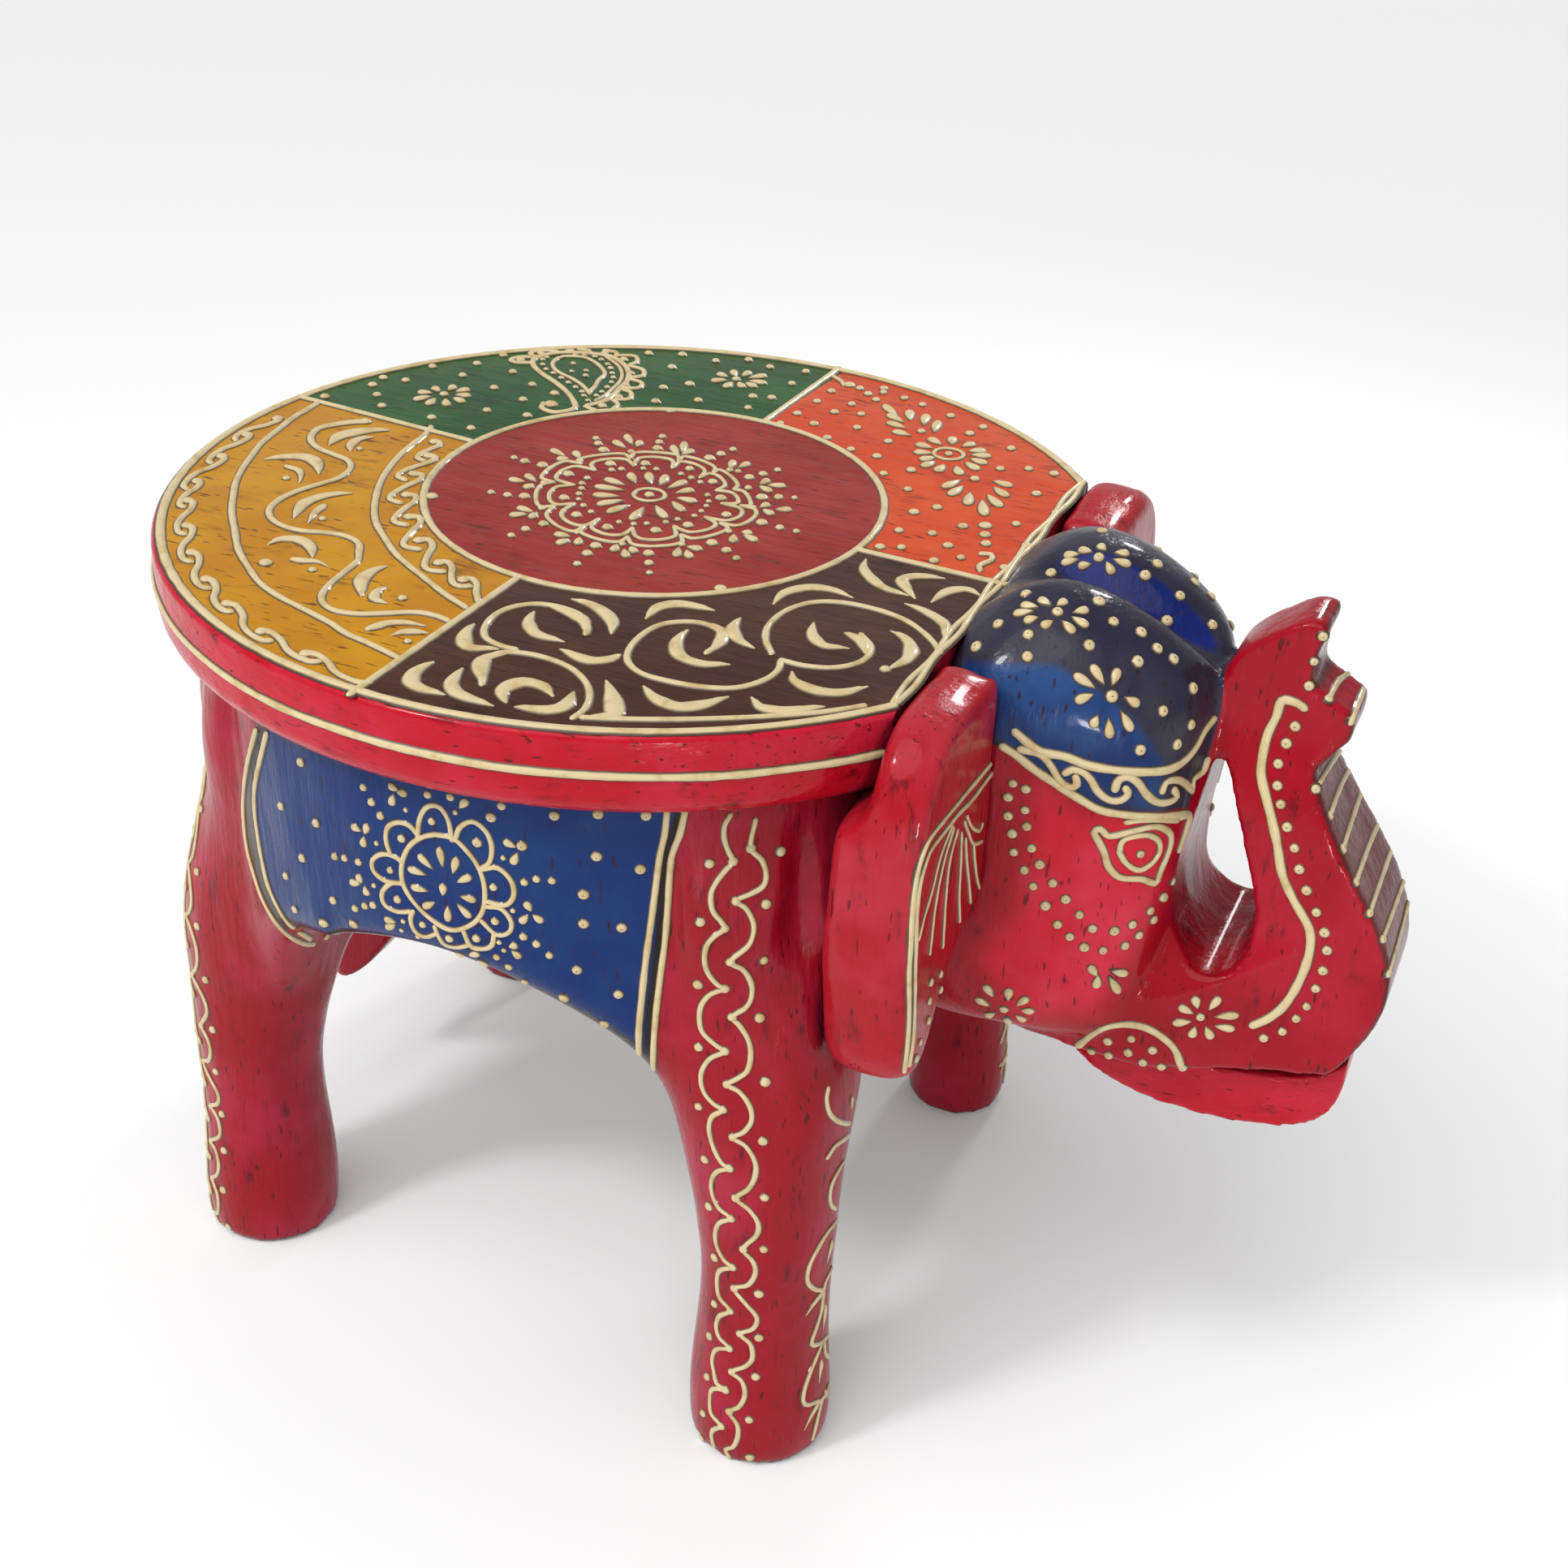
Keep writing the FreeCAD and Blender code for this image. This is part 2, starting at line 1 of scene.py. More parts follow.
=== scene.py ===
import bpy
import math
from mathutils import Matrix, Vector, noise
from mathutils.bvhtree import BVHTree


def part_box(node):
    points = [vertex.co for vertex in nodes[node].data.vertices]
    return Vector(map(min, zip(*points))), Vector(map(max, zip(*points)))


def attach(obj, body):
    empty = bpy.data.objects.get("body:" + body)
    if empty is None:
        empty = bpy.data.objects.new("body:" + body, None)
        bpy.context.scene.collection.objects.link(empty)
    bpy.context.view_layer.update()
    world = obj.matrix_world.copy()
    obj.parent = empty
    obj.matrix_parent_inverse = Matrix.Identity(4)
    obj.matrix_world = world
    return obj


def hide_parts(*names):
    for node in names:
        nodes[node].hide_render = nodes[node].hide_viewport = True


# Carved and painted elephant stool, dressed in Blender over its woodworking model.
# Places on the round seat are in sheet units, seven to a millimetre, u towards the head and v towards the
# right side. Places on the upright sides are pixels of the photograph, cast on to the wood behind them.
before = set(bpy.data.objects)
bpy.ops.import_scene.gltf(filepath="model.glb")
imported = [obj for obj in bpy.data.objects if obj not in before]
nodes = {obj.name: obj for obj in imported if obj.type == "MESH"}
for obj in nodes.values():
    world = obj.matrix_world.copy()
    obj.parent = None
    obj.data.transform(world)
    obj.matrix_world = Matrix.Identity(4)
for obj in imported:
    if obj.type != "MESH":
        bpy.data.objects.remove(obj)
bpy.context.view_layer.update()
scene = bpy.context.scene
mm = 0.001

# Camera
# It looks down on the elephant's right shoulder from in front, tipped three degrees clockwise.
camera_place = Vector((177.99, -441.3, 415.2)) * mm
camera_side_angle = 21.9
camera_height_angle = 30.4
camera_roll = -3.0
focal_pixels = 2713.7
picture_middle = 966
side, height, roll = (math.radians(angle)
                      for angle in (camera_side_angle, camera_height_angle, camera_roll))
back = Vector((math.sin(side) * math.cos(height), -math.cos(side) * math.cos(height), math.sin(height)))
right = Vector((math.cos(side), math.sin(side), 0))
up = back.cross(right)
rolled_right = right * math.cos(roll) - up * math.sin(roll)
rolled_up = right * math.sin(roll) + up * math.cos(roll)
camera_data = bpy.data.cameras.new("photo_camera")
camera_data.sensor_width = 36
camera_data.lens = 36 * focal_pixels / (picture_middle * 2)
camera = bpy.data.objects.new("photo_camera", camera_data)
scene.collection.objects.link(camera)
turn = Matrix((rolled_right, rolled_up, back)).transposed()
camera.matrix_world = Matrix.Translation(camera_place) @ turn.to_4x4()
scene.camera = camera

# Seat board
# One disc of three edge-dowelled planks, its upper edge eased and its under edge well rounded, sawn
# straight in front where the head begins. Its top is painted in four sectors round a red middle, and
# varnished.
seat_low, seat_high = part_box("seat_plank_middle")
seat_top = seat_high[2]
seat_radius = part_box("seat_plank_left")[1][1]
seat_middle = Vector((seat_low[0] + seat_radius, 0, 0))
edge_round = 1.6 * mm
under_round = 6.5 * mm
seat_sides = 192
sheet_scale = 7 / mm
sheet_middle = 826
ornament_reach = 104 * mm
medallion_middle = Vector((0.1, 7.4, 0)) * mm
medallion_reach = (55.5 * mm, 57.4 * mm)


def on_seat(u, v, held=True):
    # A place on the seat. Ornament is held inside the border line.
    offset = Vector((u - sheet_middle, sheet_middle - v, 0)) / sheet_scale
    if held and offset.length > ornament_reach:
        offset *= (ornament_reach + (offset.length - ornament_reach) * 0.5) / offset.length
    return seat_middle + offset + Vector((0, 0, seat_top)), Vector((0, 0, 1))


def linear(code):
    # An sRGB hex code as the linear colour that a socket takes.
    channels = [int(code[place:place + 2], 16) / 255 for place in (0, 2, 4)]
    return [value / 12.92 if value <= 0.04045 else ((value + 0.055) / 1.055) ** 2.4
            for value in channels] + [1]


def add_node(material, kind, settings=(), links=()):
    # Adds a node with its settings, by socket or by property, and its links. A hex code is a colour.
    node = material.node_tree.nodes.new(kind)
    for name, value in dict(settings).items():
        if isinstance(name, int) or name in node.inputs:
            node.inputs[name].default_value = linear(value) if isinstance(value, str) else value
        else:
            setattr(node, name, value)
    for name, source in dict(links).items():
        material.node_tree.links.new(source, node.inputs[name])
    return node


# Marks of oil paint and spirit varnish on carved mango wood, by their real sizes.
patch_size = 26 * mm
streak_size = 3.2 * mm
wear_size = 11 * mm
pore_size = 1.1 * mm
dirt_and_shade_reach = 4 * mm
facet_size = 13 * mm
facet_depth = 2.4 * mm
ripple_size = 4 * mm
ripple_depth = 0.9 * mm
pit_size = 1.6 * mm
pit_depth = 0.18 * mm
pore_brown = "35100C"
# Dark brown for dirt and painted shade in the hollows.
dirt_and_shade_brown = "2A0A12"
# The paint throws this dull colour on to the floor, so that the shadow under the stool stays grey.
thrown_grey = "3C3636"


def painted_wood(name, base, pale, deep, areas=(), grain=(1, 1, 0.2), gloss=0.3, chisel=0.35):
    # Brushed oil paint under varnish: cloudy patches of a paler coat, worn streaks of a deeper one, dark
    # pores along the grain, brown dirt and painted shade darkening the hollows, and the shallow facets that
    # the chisel left. Areas are fields in other colours, each where an attribute of the surface rises from
    # a low value to a high one.
    material = bpy.data.materials.new(name)
    material.use_nodes = True
    place = add_node(material, "ShaderNodeTexCoord").outputs["Object"]
    along_grain = add_node(material, "ShaderNodeVectorMath", {"operation": "MULTIPLY", 1: grain},
                           {0: place}).outputs[0]
    clouds = ((place, patch_size, 3, 0.40, 0.68), (along_grain, streak_size, 4, 0.49, 0.75),
              (place, wear_size, 5, 0.44, 0.66), (along_grain, pore_size, 1, 0.66, 0.74))
    shares = []
    for where, size, detail, low, high in clouds:
        cloud = add_node(material, "ShaderNodeTexNoise",
                         {"Scale": 1 / size, "Detail": detail, "Roughness": 0.6}, {"Vector": where})
        shares.append(add_node(material, "ShaderNodeMapRange",
                               {"interpolation_type": "SMOOTHSTEP", "From Min": low, "From Max": high},
                               {"Value": cloud.outputs["Fac"]}).outputs["Result"])
    patches, streaks, worn, pores = shares
    streaks = add_node(material, "ShaderNodeMath", {"operation": "MULTIPLY"},
                       {0: streaks, 1: worn}).outputs[0]
    pores = add_node(material, "ShaderNodeMath", {"operation": "MULTIPLY", 1: 0.75}, {0: pores}).outputs[0]
    # Ambient occlusion darkens the hollows with dirt and painted shade.
    shade = add_node(material, "ShaderNodeAmbientOcclusion", {"samples": 4, "Distance": dirt_and_shade_reach})
    hollow = add_node(material, "ShaderNodeMapRange",
                      {"interpolation_type": "SMOOTHSTEP", "From Min": 0.75, "From Max": 0.25},
                      {"Value": shade.outputs["AO"]})
    dirt_and_shade = add_node(material, "ShaderNodeMath", {"operation": "MULTIPLY", 1: 0.6},
                    {0: hollow.outputs["Result"]}).outputs[0]
    rays = add_node(material, "ShaderNodeLightPath")
    thrown = add_node(material, "ShaderNodeMath", {"operation": "MULTIPLY", 1: 0.8},
                      {0: rays.outputs["Is Diffuse Ray"]}).outputs[0]
    colour = add_node(material, "ShaderNodeMix", {"data_type": "RGBA", 6: base, 7: pale},
                      {0: patches}).outputs[2]
    colour = add_node(material, "ShaderNodeMix", {"data_type": "RGBA", 7: deep},
                      {0: streaks, 6: colour}).outputs[2]
    for attribute, low, high, own, own_pale in areas:
        value = add_node(material, "ShaderNodeAttribute", {"attribute_name": attribute})
        inside = add_node(material, "ShaderNodeMapRange",
                          {"interpolation_type": "SMOOTHSTEP", "From Min": low, "From Max": high},
                          {"Value": value.outputs["Fac"]})
        field = add_node(material, "ShaderNodeMix", {"data_type": "RGBA", 6: own, 7: own_pale},
                         {0: patches})
        colour = add_node(material, "ShaderNodeMix", {"data_type": "RGBA"},
                          {0: inside.outputs["Result"], 6: colour, 7: field.outputs[2]}).outputs[2]
    for share, tint in ((pores, pore_brown), (dirt_and_shade, dirt_and_shade_brown), (thrown, thrown_grey)):
        colour = add_node(material, "ShaderNodeMix", {"data_type": "RGBA", 7: tint},
                          {0: share, 6: colour}).outputs[2]
    stretched = add_node(material, "ShaderNodeVectorMath", {"operation": "MULTIPLY", 1: (1, 1, 0.55)},
                         {0: place})
    facets = add_node(material, "ShaderNodeTexVoronoi",
                      {"feature": "SMOOTH_F1", "Scale": 1 / facet_size, "Smoothness": 0.25},
                      {"Vector": stretched.outputs[0]})
    ripples = add_node(material, "ShaderNodeTexNoise",
                       {"Scale": 1 / ripple_size, "Detail": 3, "Roughness": 0.6}, {"Vector": along_grain})
    pits = add_node(material, "ShaderNodeTexNoise",
                    {"Scale": 1 / pit_size, "Detail": 2, "Roughness": 0.6}, {"Vector": place})
    bump = None
    for strength, depth, height in ((chisel, facet_depth, facets.outputs["Distance"]),
                                    (0.6, ripple_depth, ripples.outputs["Fac"]),
                                    (0.4, pit_depth, pits.outputs["Fac"])):
        links = {"Height": height, "Normal": bump.outputs[0]} if bump else {"Height": height}
        bump = add_node(material, "ShaderNodeBump", {"Strength": strength, "Distance": depth}, links)
    shader = material.node_tree.nodes["Principled BSDF"]
    shader.inputs["Roughness"].default_value = gloss
    shader.inputs["Specular IOR Level"].default_value = 0.09
    shader.inputs["Coat Weight"].default_value = 0.22
    shader.inputs["Coat Roughness"].default_value = 0.08
    material.node_tree.links.new(colour, shader.inputs["Base Color"])
    material.node_tree.links.new(bump.outputs[0], shader.inputs["Normal"])
    return material


def finished(piece, slot, *stands_for):
    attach(piece, "root")
    if stands_for:
        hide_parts(*stands_for)


bpy.ops.object.select_all(action="DESELECT")
bpy.ops.mesh.primitive_circle_add(vertices=seat_sides, radius=1,
                                  location=seat_middle + medallion_middle + Vector((0, 0, seat_top)))
medallion = bpy.context.object
medallion.scale = (medallion_reach[0], medallion_reach[1], 1)
bpy.ops.mesh.primitive_circle_add(vertices=seat_sides, radius=seat_radius - edge_round,
                                  location=seat_middle + Vector((0, 0, seat_top)))
seat = bpy.context.object
medallion.select_set(True)
bpy.ops.object.transform_apply(location=True, rotation=True, scale=True)
bpy.ops.object.join()
seat.name = "painted_seat"
bpy.ops.object.mode_set(mode="EDIT")
bpy.ops.mesh.select_mode(type="EDGE")
bpy.ops.mesh.select_all(action="DESELECT")
bpy.ops.mesh.select_non_manifold()
bpy.ops.mesh.bridge_edge_loops()
bpy.ops.mesh.select_all(action="DESELECT")
bpy.ops.object.mode_set(mode="OBJECT")
for vertex in seat.data.vertices:
    vertex.select = math.hypot(vertex.co.x - seat_middle.x, vertex.co.y) < seat_radius * 0.8
bpy.ops.object.mode_set(mode="EDIT")
bpy.ops.mesh.edge_face_add()
bpy.ops.mesh.select_all(action="DESELECT")
bpy.ops.mesh.select_non_manifold()
reach_now = seat_radius - edge_round
height_now = seat_top
profile = []
for step in (1, 2, 3, 4):
    angle = math.pi / 8 * step
    profile.append((seat_radius - edge_round + edge_round * math.sin(angle),
                    seat_top - edge_round + edge_round * math.cos(angle)))
for step in range(7):
    angle = math.pi / 12 * step
    profile.append((seat_radius - under_round + under_round * math.cos(angle),
                    seat_low[2] + under_round - under_round * math.sin(angle)))
for reach, height in profile:
    bpy.ops.mesh.extrude_region_move(TRANSFORM_OT_translate={"value": (0, 0, height - height_now)})
    bpy.ops.transform.resize(value=(reach / reach_now, reach / reach_now, 1), center_override=seat_middle)
    reach_now, height_now = reach, height
bpy.ops.mesh.edge_face_add()
bpy.ops.mesh.select_all(action="SELECT")
bpy.ops.mesh.bisect(plane_co=(seat_high[0], 0, 0), plane_no=(1, 0, 0), use_fill=True, clear_outer=True)
# The lines between the sectors, each from and to a sheet place: left, far, front and near.
dividers = ((50, 690, 432, 722), (862, 35, 850, 372), (1215, 818, 1478, 828), (785, 1178, 768, 1625))
for u, v, end_u, end_v in dividers:
    start = on_seat(u, v, False)[0]
    run = on_seat(end_u, end_v, False)[0] - start
    bpy.ops.mesh.select_all(action="SELECT")
    bpy.ops.mesh.bisect(plane_co=start, plane_no=(run.y, -run.x, 0))
bpy.ops.mesh.select_all(action="SELECT")
bpy.ops.mesh.normals_make_consistent(inside=False)
bpy.ops.object.mode_set(mode="OBJECT")

# Flat brushed oil colours, their grain along the planks: a madder red middle, then yellow ochre, umber
# brown, vermilion and leaf green round it, and the rim in bright red with a wetter gloss.
seat_grain = (0.2, 1, 1)
for material in (painted_wood("seat_middle_red", "8E201C", "9C2E24", "541010", (), seat_grain, 0.3, 0.1),
                 painted_wood("seat_ochre_yellow", "B87A00", "C48A04", "744402", (), seat_grain, 0.3, 0.1),
                 painted_wood("seat_umber_brown", "42241A", "4E2E20", "22120C", (), seat_grain, 0.3, 0.1),
                 painted_wood("seat_vermilion", "CC4010", "D4501C", "8A260C", (), seat_grain, 0.3, 0.1),
                 painted_wood("seat_leaf_green", "144A1A", "205822", "0A2A0E", (), seat_grain, 0.3, 0.1),
                 painted_wood("rim_red_lacquer", "B80A1E", "C4203A", "6A0612", (), seat_grain, 0.2, 0.25)):
    seat.data.materials.append(material)


def beyond(divider, u, v):
    # Which side of a divider a sheet place is on.
    start_u, start_v, end_u, end_v = divider
    return (end_u - start_u) * (v - start_v) - (end_v - start_v) * (u - start_u) > 0


for face in seat.data.polygons:
    u = sheet_middle + (face.center.x - seat_middle.x) * sheet_scale
    v = sheet_middle - face.center.y * sheet_scale
    offset = face.center - seat_middle - medallion_middle
    lower = beyond(dividers[0] if u < sheet_middle else dividers[2], u, v)
    if face.center.z < seat_top - 0.01 * mm:
        face.material_index = 5
    elif (offset.x / medallion_reach[0]) ** 2 + (offset.y / medallion_reach[1]) ** 2 < 1:
        face.material_index = 0
    elif lower:
        face.material_index = 1 if beyond(dividers[3], u, v) else 2
    else:
        face.material_index = 4 if beyond(dividers[1], u, v) else 3
bpy.ops.object.select_all(action="DESELECT")
seat.select_set(True)
bpy.context.view_layer.objects.active = seat
bpy.ops.object.shade_smooth_by_angle(angle=math.radians(30))
finished(seat, "seat_paint", "seat_plank_left", "seat_plank_middle", "seat_plank_right")

# Raised cone lines
# A thick paste is squeezed from a cone on to the wood, dries as a rounded bead and is painted cream. Brown
# stain stays in the corner between bead and ground. Every bead, dot and drop is mesh laid on its ground.
line_width = 1.75 * mm
line_height = 0.75 * mm
foot_height = 0.14 * mm
skirt_reach = 0.42 * mm
flat_sink = 0.12 * mm
smear_size = 5 * mm

# Chalk paste under cream paint: matter than the ground, a little yellowed in smears, with a brown stained
# foot that draws a dark edge round each line.
raised_cream = bpy.data.materials.new("raised_cream_paste")
raised_cream.use_nodes = True
place = add_node(raised_cream, "ShaderNodeTexCoord").outputs["Object"]
cloud = add_node(raised_cream, "ShaderNodeTexNoise",
                 {"Scale": 1 / smear_size, "Detail": 3, "Roughness": 0.6}, {"Vector": place})
smeared = add_node(raised_cream, "ShaderNodeMapRange",
                   {"interpolation_type": "SMOOTHSTEP", "From Min": 0.45, "From Max": 0.75},
                   {"Value": cloud.outputs["Fac"]})
cream = add_node(raised_cream, "ShaderNodeMix", {"data_type": "RGBA", 6: "D8C496", 7: "C2A76C"},
                 {0: smeared.outputs["Result"]})
stain = add_node(raised_cream, "ShaderNodeAttribute", {"attribute_name": "stain"})
foot = add_node(raised_cream, "ShaderNodeMapRange",
                {"interpolation_type": "SMOOTHSTEP", "From Min": 0.25, "From Max": 0.9},
                {"Value": stain.outputs["Fac"]})
colour = add_node(raised_cream, "ShaderNodeMix", {"data_type": "RGBA", 7: "3C2611"},
                  {0: foot.outputs["Result"], 6: cream.outputs[2]}).outputs[2]
shader = raised_cream.node_tree.nodes["Principled BSDF"]
shader.inputs["Roughness"].default_value = 0.42
shader.inputs["Coat Weight"].default_value = 0.25
raised_cream.node_tree.links.new(colour, shader.inputs["Base Color"])


def through(points, step):
    # Evenly spaced places on a smooth line through the points.
    points = [Vector(point) for point in points]
    fine = []
    for index in range(len(points) - 1):
        start, end = points[index], points[index + 1]
        before = points[index - 1] if index else start * 2 - end
        after = points[index + 2] if index + 2 < len(points) else end * 2 - start
        span = (end - start).length
        run_in = (end - before) * (span / max((end - start).length + (start - before).length, 1e-9))
        run_out = (after - start) * (span / max((after - end).length + (end - start).length, 1e-9))
        for part in range(8):
            t = part / 8
            fine.append(start * (2 * t ** 3 - 3 * t ** 2 + 1) + end * (3 * t ** 2 - 2 * t ** 3)
                        + run_in * (t ** 3 - 2 * t ** 2 + t) + run_out * (t ** 3 - t ** 2))
    fine.append(points[-1])
    spots, gone, target = [fine[0]], 0.0, step
    for start, end in zip(fine, fine[1:]):
        span = (end - start).length
        while span and gone + span >= target:
            spots.append(start.lerp(end, (target - gone) / span))
            target += step
        gone += span
    if (spots[-1] - fine[-1]).length > step * 0.4:
        spots.append(fine[-1])
    return spots


def marked(mesh, name, values):
    # Keeps one value for each vertex under a name that the material reads.
    layer = mesh.attributes.new(name, "FLOAT", "POINT")
    layer.data.foreach_set("value", values)


class Relief:
    # Beads gathered into one mesh, all on one kind of ground.
    def __init__(self, sink):
        self.sink = sink
        self.places = []
        self.faces = []
        self.stains = []

    def ring(self, places, stain):
        first = len(self.places)
        self.places += places
        self.stains += [stain] * len(places)
        return list(range(first, first + len(places)))

    def line(self, spots, width=line_width, grow=None):
        # Bead along spots, each a place and a normal. grow gives its share of the width along it.
        if len(spots) < 2:
            return
        rows = []
        last = len(spots) - 1
        for index, (place, normal) in enumerate(spots):
            ahead = (spots[min(index + 1, last)][0] - spots[max(index - 1, 0)][0]).normalized()
            across = normal.cross(ahead).normalized()
            half = width / 2 * (grow(index / last) if grow else 1)
            half *= 1 + 0.16 * noise.noise(place * 300)
            rows.append((place, normal, ahead, across, half))
        place, normal, ahead, across, half = rows[0]
        rows = [(place - ahead * half * reach, normal, ahead, across, half * share)
                for reach, share in ((0.95, 0.15), (0.6, 0.75))] + rows
        place, normal, ahead, across, half = rows[-1]
        rows += [(place + ahead * half * reach, normal, ahead, across, half * share)
                 for reach, share in ((0.6, 0.75), (0.95, 0.15))]
        before = None
        for place, normal, ahead, across, half in rows:
            crown = min(line_height, half * 0.95)
            section = ((-half - skirt_reach, -self.sink, 1), (-half, min(foot_height, crown * 0.5), 0.75),
                       (-half * 0.55, crown * 0.82, 0), (0, crown, 0), (half * 0.55, crown * 0.82, 0),
                       (half, min(foot_height, crown * 0.5), 0.75), (half + skirt_reach, -self.sink, 1))
            row = [self.ring([place + across * offset + normal * rise], stain)[0]
                   for offset, rise, stain in section]
            if before:
                for one in range(6):
                    self.faces.append((before[one], before[one + 1], row[one + 1], row[one]))
            before = row

    def mound(self, outline, middle, normal, crown, pricked=False):
        # Closed bead over an outline that runs anticlockwise seen from outside.
        outer = []
        for index, point in enumerate(outline):
            run = outline[(index + 1) % len(outline)] - outline[index - 1]
            outer.append(point + run.cross(normal).normalized() * skirt_reach - normal * self.sink)
        foot = min(foot_height, crown * 0.5)
        shoulder = [middle + (point - middle) * 0.66 + normal * crown * 0.8 for point in outline]
        rings = [self.ring(outer, 1), self.ring([point + normal * foot for point in outline], 0.75),
                 self.ring(shoulder, 0)]
        if pricked:
            lip = [middle + (point - middle) * 0.24 + normal * crown for point in outline]
            rings.append(self.ring(lip, 0.2))
        for low, high in zip(rings, rings[1:]):
            for one in range(len(low)):
                two = (one + 1) % len(low)
                self.faces.append((low[one], low[two], high[two], high[one]))
        apex = self.ring([middle + normal * crown * (0.6 if pricked else 1)], 1 if pricked else 0)[0]
        for one in range(len(outline)):
            self.faces.append((rings[-1][one], rings[-1][(one + 1) % len(outline)], apex))

    def dot(self, spot, radius, pricked=False):
        place, normal = spot
        radius *= 1 + 0.2 * noise.noise(place * 900)
        across = normal.orthogonal().normalized()
        upward = normal.cross(across)
        outline = []
        for part in range(9):
            angle = math.tau * part / 9
            outline.append(place + (across * math.cos(angle) + upward * math.sin(angle)) * radius)
        self.mound(outline, place, normal, min(line_height * 1.1, radius * 0.75), pricked)

    def drop(self, blob, tip, width):
        # Fat end at blob, point at tip.
        place, normal = blob
        run = tip[0] - place
        run -= normal * run.dot(normal)
        length = run.length
        along = run.normalized()
        across = normal.cross(along)
        half = (length + width / 2) / 2
        middle = place + along * (length - width / 2) / 2
        outline = []
        for part in range(14):
            angle = math.tau * part / 14
            swell = width / 2 * 1.3 * math.sin(angle) * abs(math.sin(angle / 2))
            outline.append(middle + along * half * math.cos(angle) + across * swell)
        self.mound(outline, place + along * width * 0.1, normal, min(line_height * 1.1, width * 0.38))

    def placed(self, name, slot):
        mesh = bpy.data.meshes.new(name)
        mesh.from_pydata(self.places, [], self.faces)
        marked(mesh, "stain", self.stains)
        mesh.materials.append(raised_cream)
        mesh.shade_smooth()
        piece = bpy.data.objects.new(name, mesh)
        scene.collection.objects.link(piece)
        finished(piece, slot)
        return piece


def sheet_path(points, step=8, held=True):
    return [on_seat(spot.x, spot.y, held) for spot in through(points, step)]


def round_path(u, v, reach_u, reach_v, parts):
    # A ring on the seat about a sheet place.
    angles = [math.tau * part / parts for part in range(parts + 1)]
    return sheet_path([(u + reach_u * math.cos(angle), v + reach_v * math.sin(angle)) for angle in angles])


# Seat border and dividers
# A thick line just inside the eased edge, a doubled one along the straight front, a ring round the middle,
# and a line between each two sectors.
border = Relief(flat_sink)
border_reach = 112.2 * mm
chord_place = 90.4 * mm
chord_angle = math.acos(chord_place / border_reach)
arc = [chord_angle + (math.tau - chord_angle * 2) * part / 560 for part in range(561)]
border.line([(seat_middle + Vector((math.cos(angle), math.sin(angle), 0)) * border_reach
              + Vector((0, 0, seat_top)), Vector((0, 0, 1))) for angle in arc], 2.2 * mm)
for shift, swing in ((0, 3), (-8, -3)):
    edge = [(1462 + shift + swing * math.sin(v / 31), v) for v in range(352, 1306, 30)]
    border.line(sheet_path(edge, 8, False), 1.5 * mm)
border.line(round_path(826.7, 774.2, 388.5, 401.8, 60), 1.9 * mm)
for u, v, end_u, end_v in dividers:
    border.line(sheet_path(((u, v), (end_u, end_v)), 8, False), 1.9 * mm)
for u, v in ((502, 968), (1080, 1060), (675, 408)):
    border.dot(on_seat(u, v), 1.7 * mm)
border.placed("border_lines", "seat_paint")

# Red middle
# A ring and dot, fourteen petals, two scalloped rims with a dot in each lobe, and rows and sprigs between.
middle = Relief(flat_sink)
heart = (818, 783)
middle.dot(on_seat(*heart), 1.3 * mm)
middle.line(round_path(*heart, 27, 27, 16), 1.1 * mm)
middle_petals = (
    (845, 705, 832, 745), (808, 700, 816, 738), (778, 705, 798, 738), (752, 722, 773, 748),
    (728, 760, 765, 765), (728, 795, 775, 785), (742, 828, 780, 812), (765, 858, 792, 822),
    (793, 878, 808, 835), (838, 885, 832, 830), (880, 852, 845, 815), (893, 812, 862, 788),
    (893, 770, 862, 772), (870, 732, 852, 755))
for u, v, tip_u, tip_v in middle_petals:
    middle.drop(on_seat(u, v), on_seat(tip_u, tip_v), 2.6 * mm)
lobe_joins = (
    (795, 620), (872, 640), (935, 690), (975, 748), (975, 832), (938, 907), (865, 957), (783, 950),
    (701, 905), (651, 815), (652, 718), (715, 652))
lobe_tops = (
    (828, 600), (903, 638), (975, 715), (1013, 790), (985, 880), (925, 965), (825, 988), (742, 972),
    (655, 885), (615, 765), (665, 665), (745, 606))
for join_share, top_share in ((1, 1), (0.79, 0.885)):
    for number in range(12):
        corners = [Vector(place) for place in
                   (lobe_joins[number], lobe_tops[number], lobe_joins[(number + 1) % 12])]
        shares = (join_share, top_share, join_share)
        start, top, end = (Vector(heart) + (corner - Vector(heart)) * share
                           for corner, share in zip(corners, shares))
        bulge = top - (start + end) / 2
        arch = (start, start + bulge * 0.75 + (end - start) * 0.06, top,
                end + bulge * 0.75 - (end - start) * 0.06, end)
        middle.line(sheet_path(arch), 1.2 * mm)
lobe_dots = ((828, 645), (888, 678), (930, 735), (968, 795), (930, 865), (893, 910), (818, 938), (750, 918),
             (698, 865), (655, 770), (697, 693), (750, 662))
for u, v in lobe_dots:
    middle.dot(on_seat(u, v), 1.4 * mm)
small_dots = (
    (692, 770), (695, 795), (705, 815), (712, 838), (722, 858), (742, 878), (765, 895), (825, 910),
    (850, 905), (868, 893), (893, 872), (905, 852), (923, 825), (925, 802), (923, 778), (918, 758),
    (905, 735), (870, 690), (848, 680), (825, 673), (778, 675), (757, 684), (725, 705), (712, 717))
for u, v in small_dots:
    middle.dot(on_seat(u, v), 0.85 * mm)
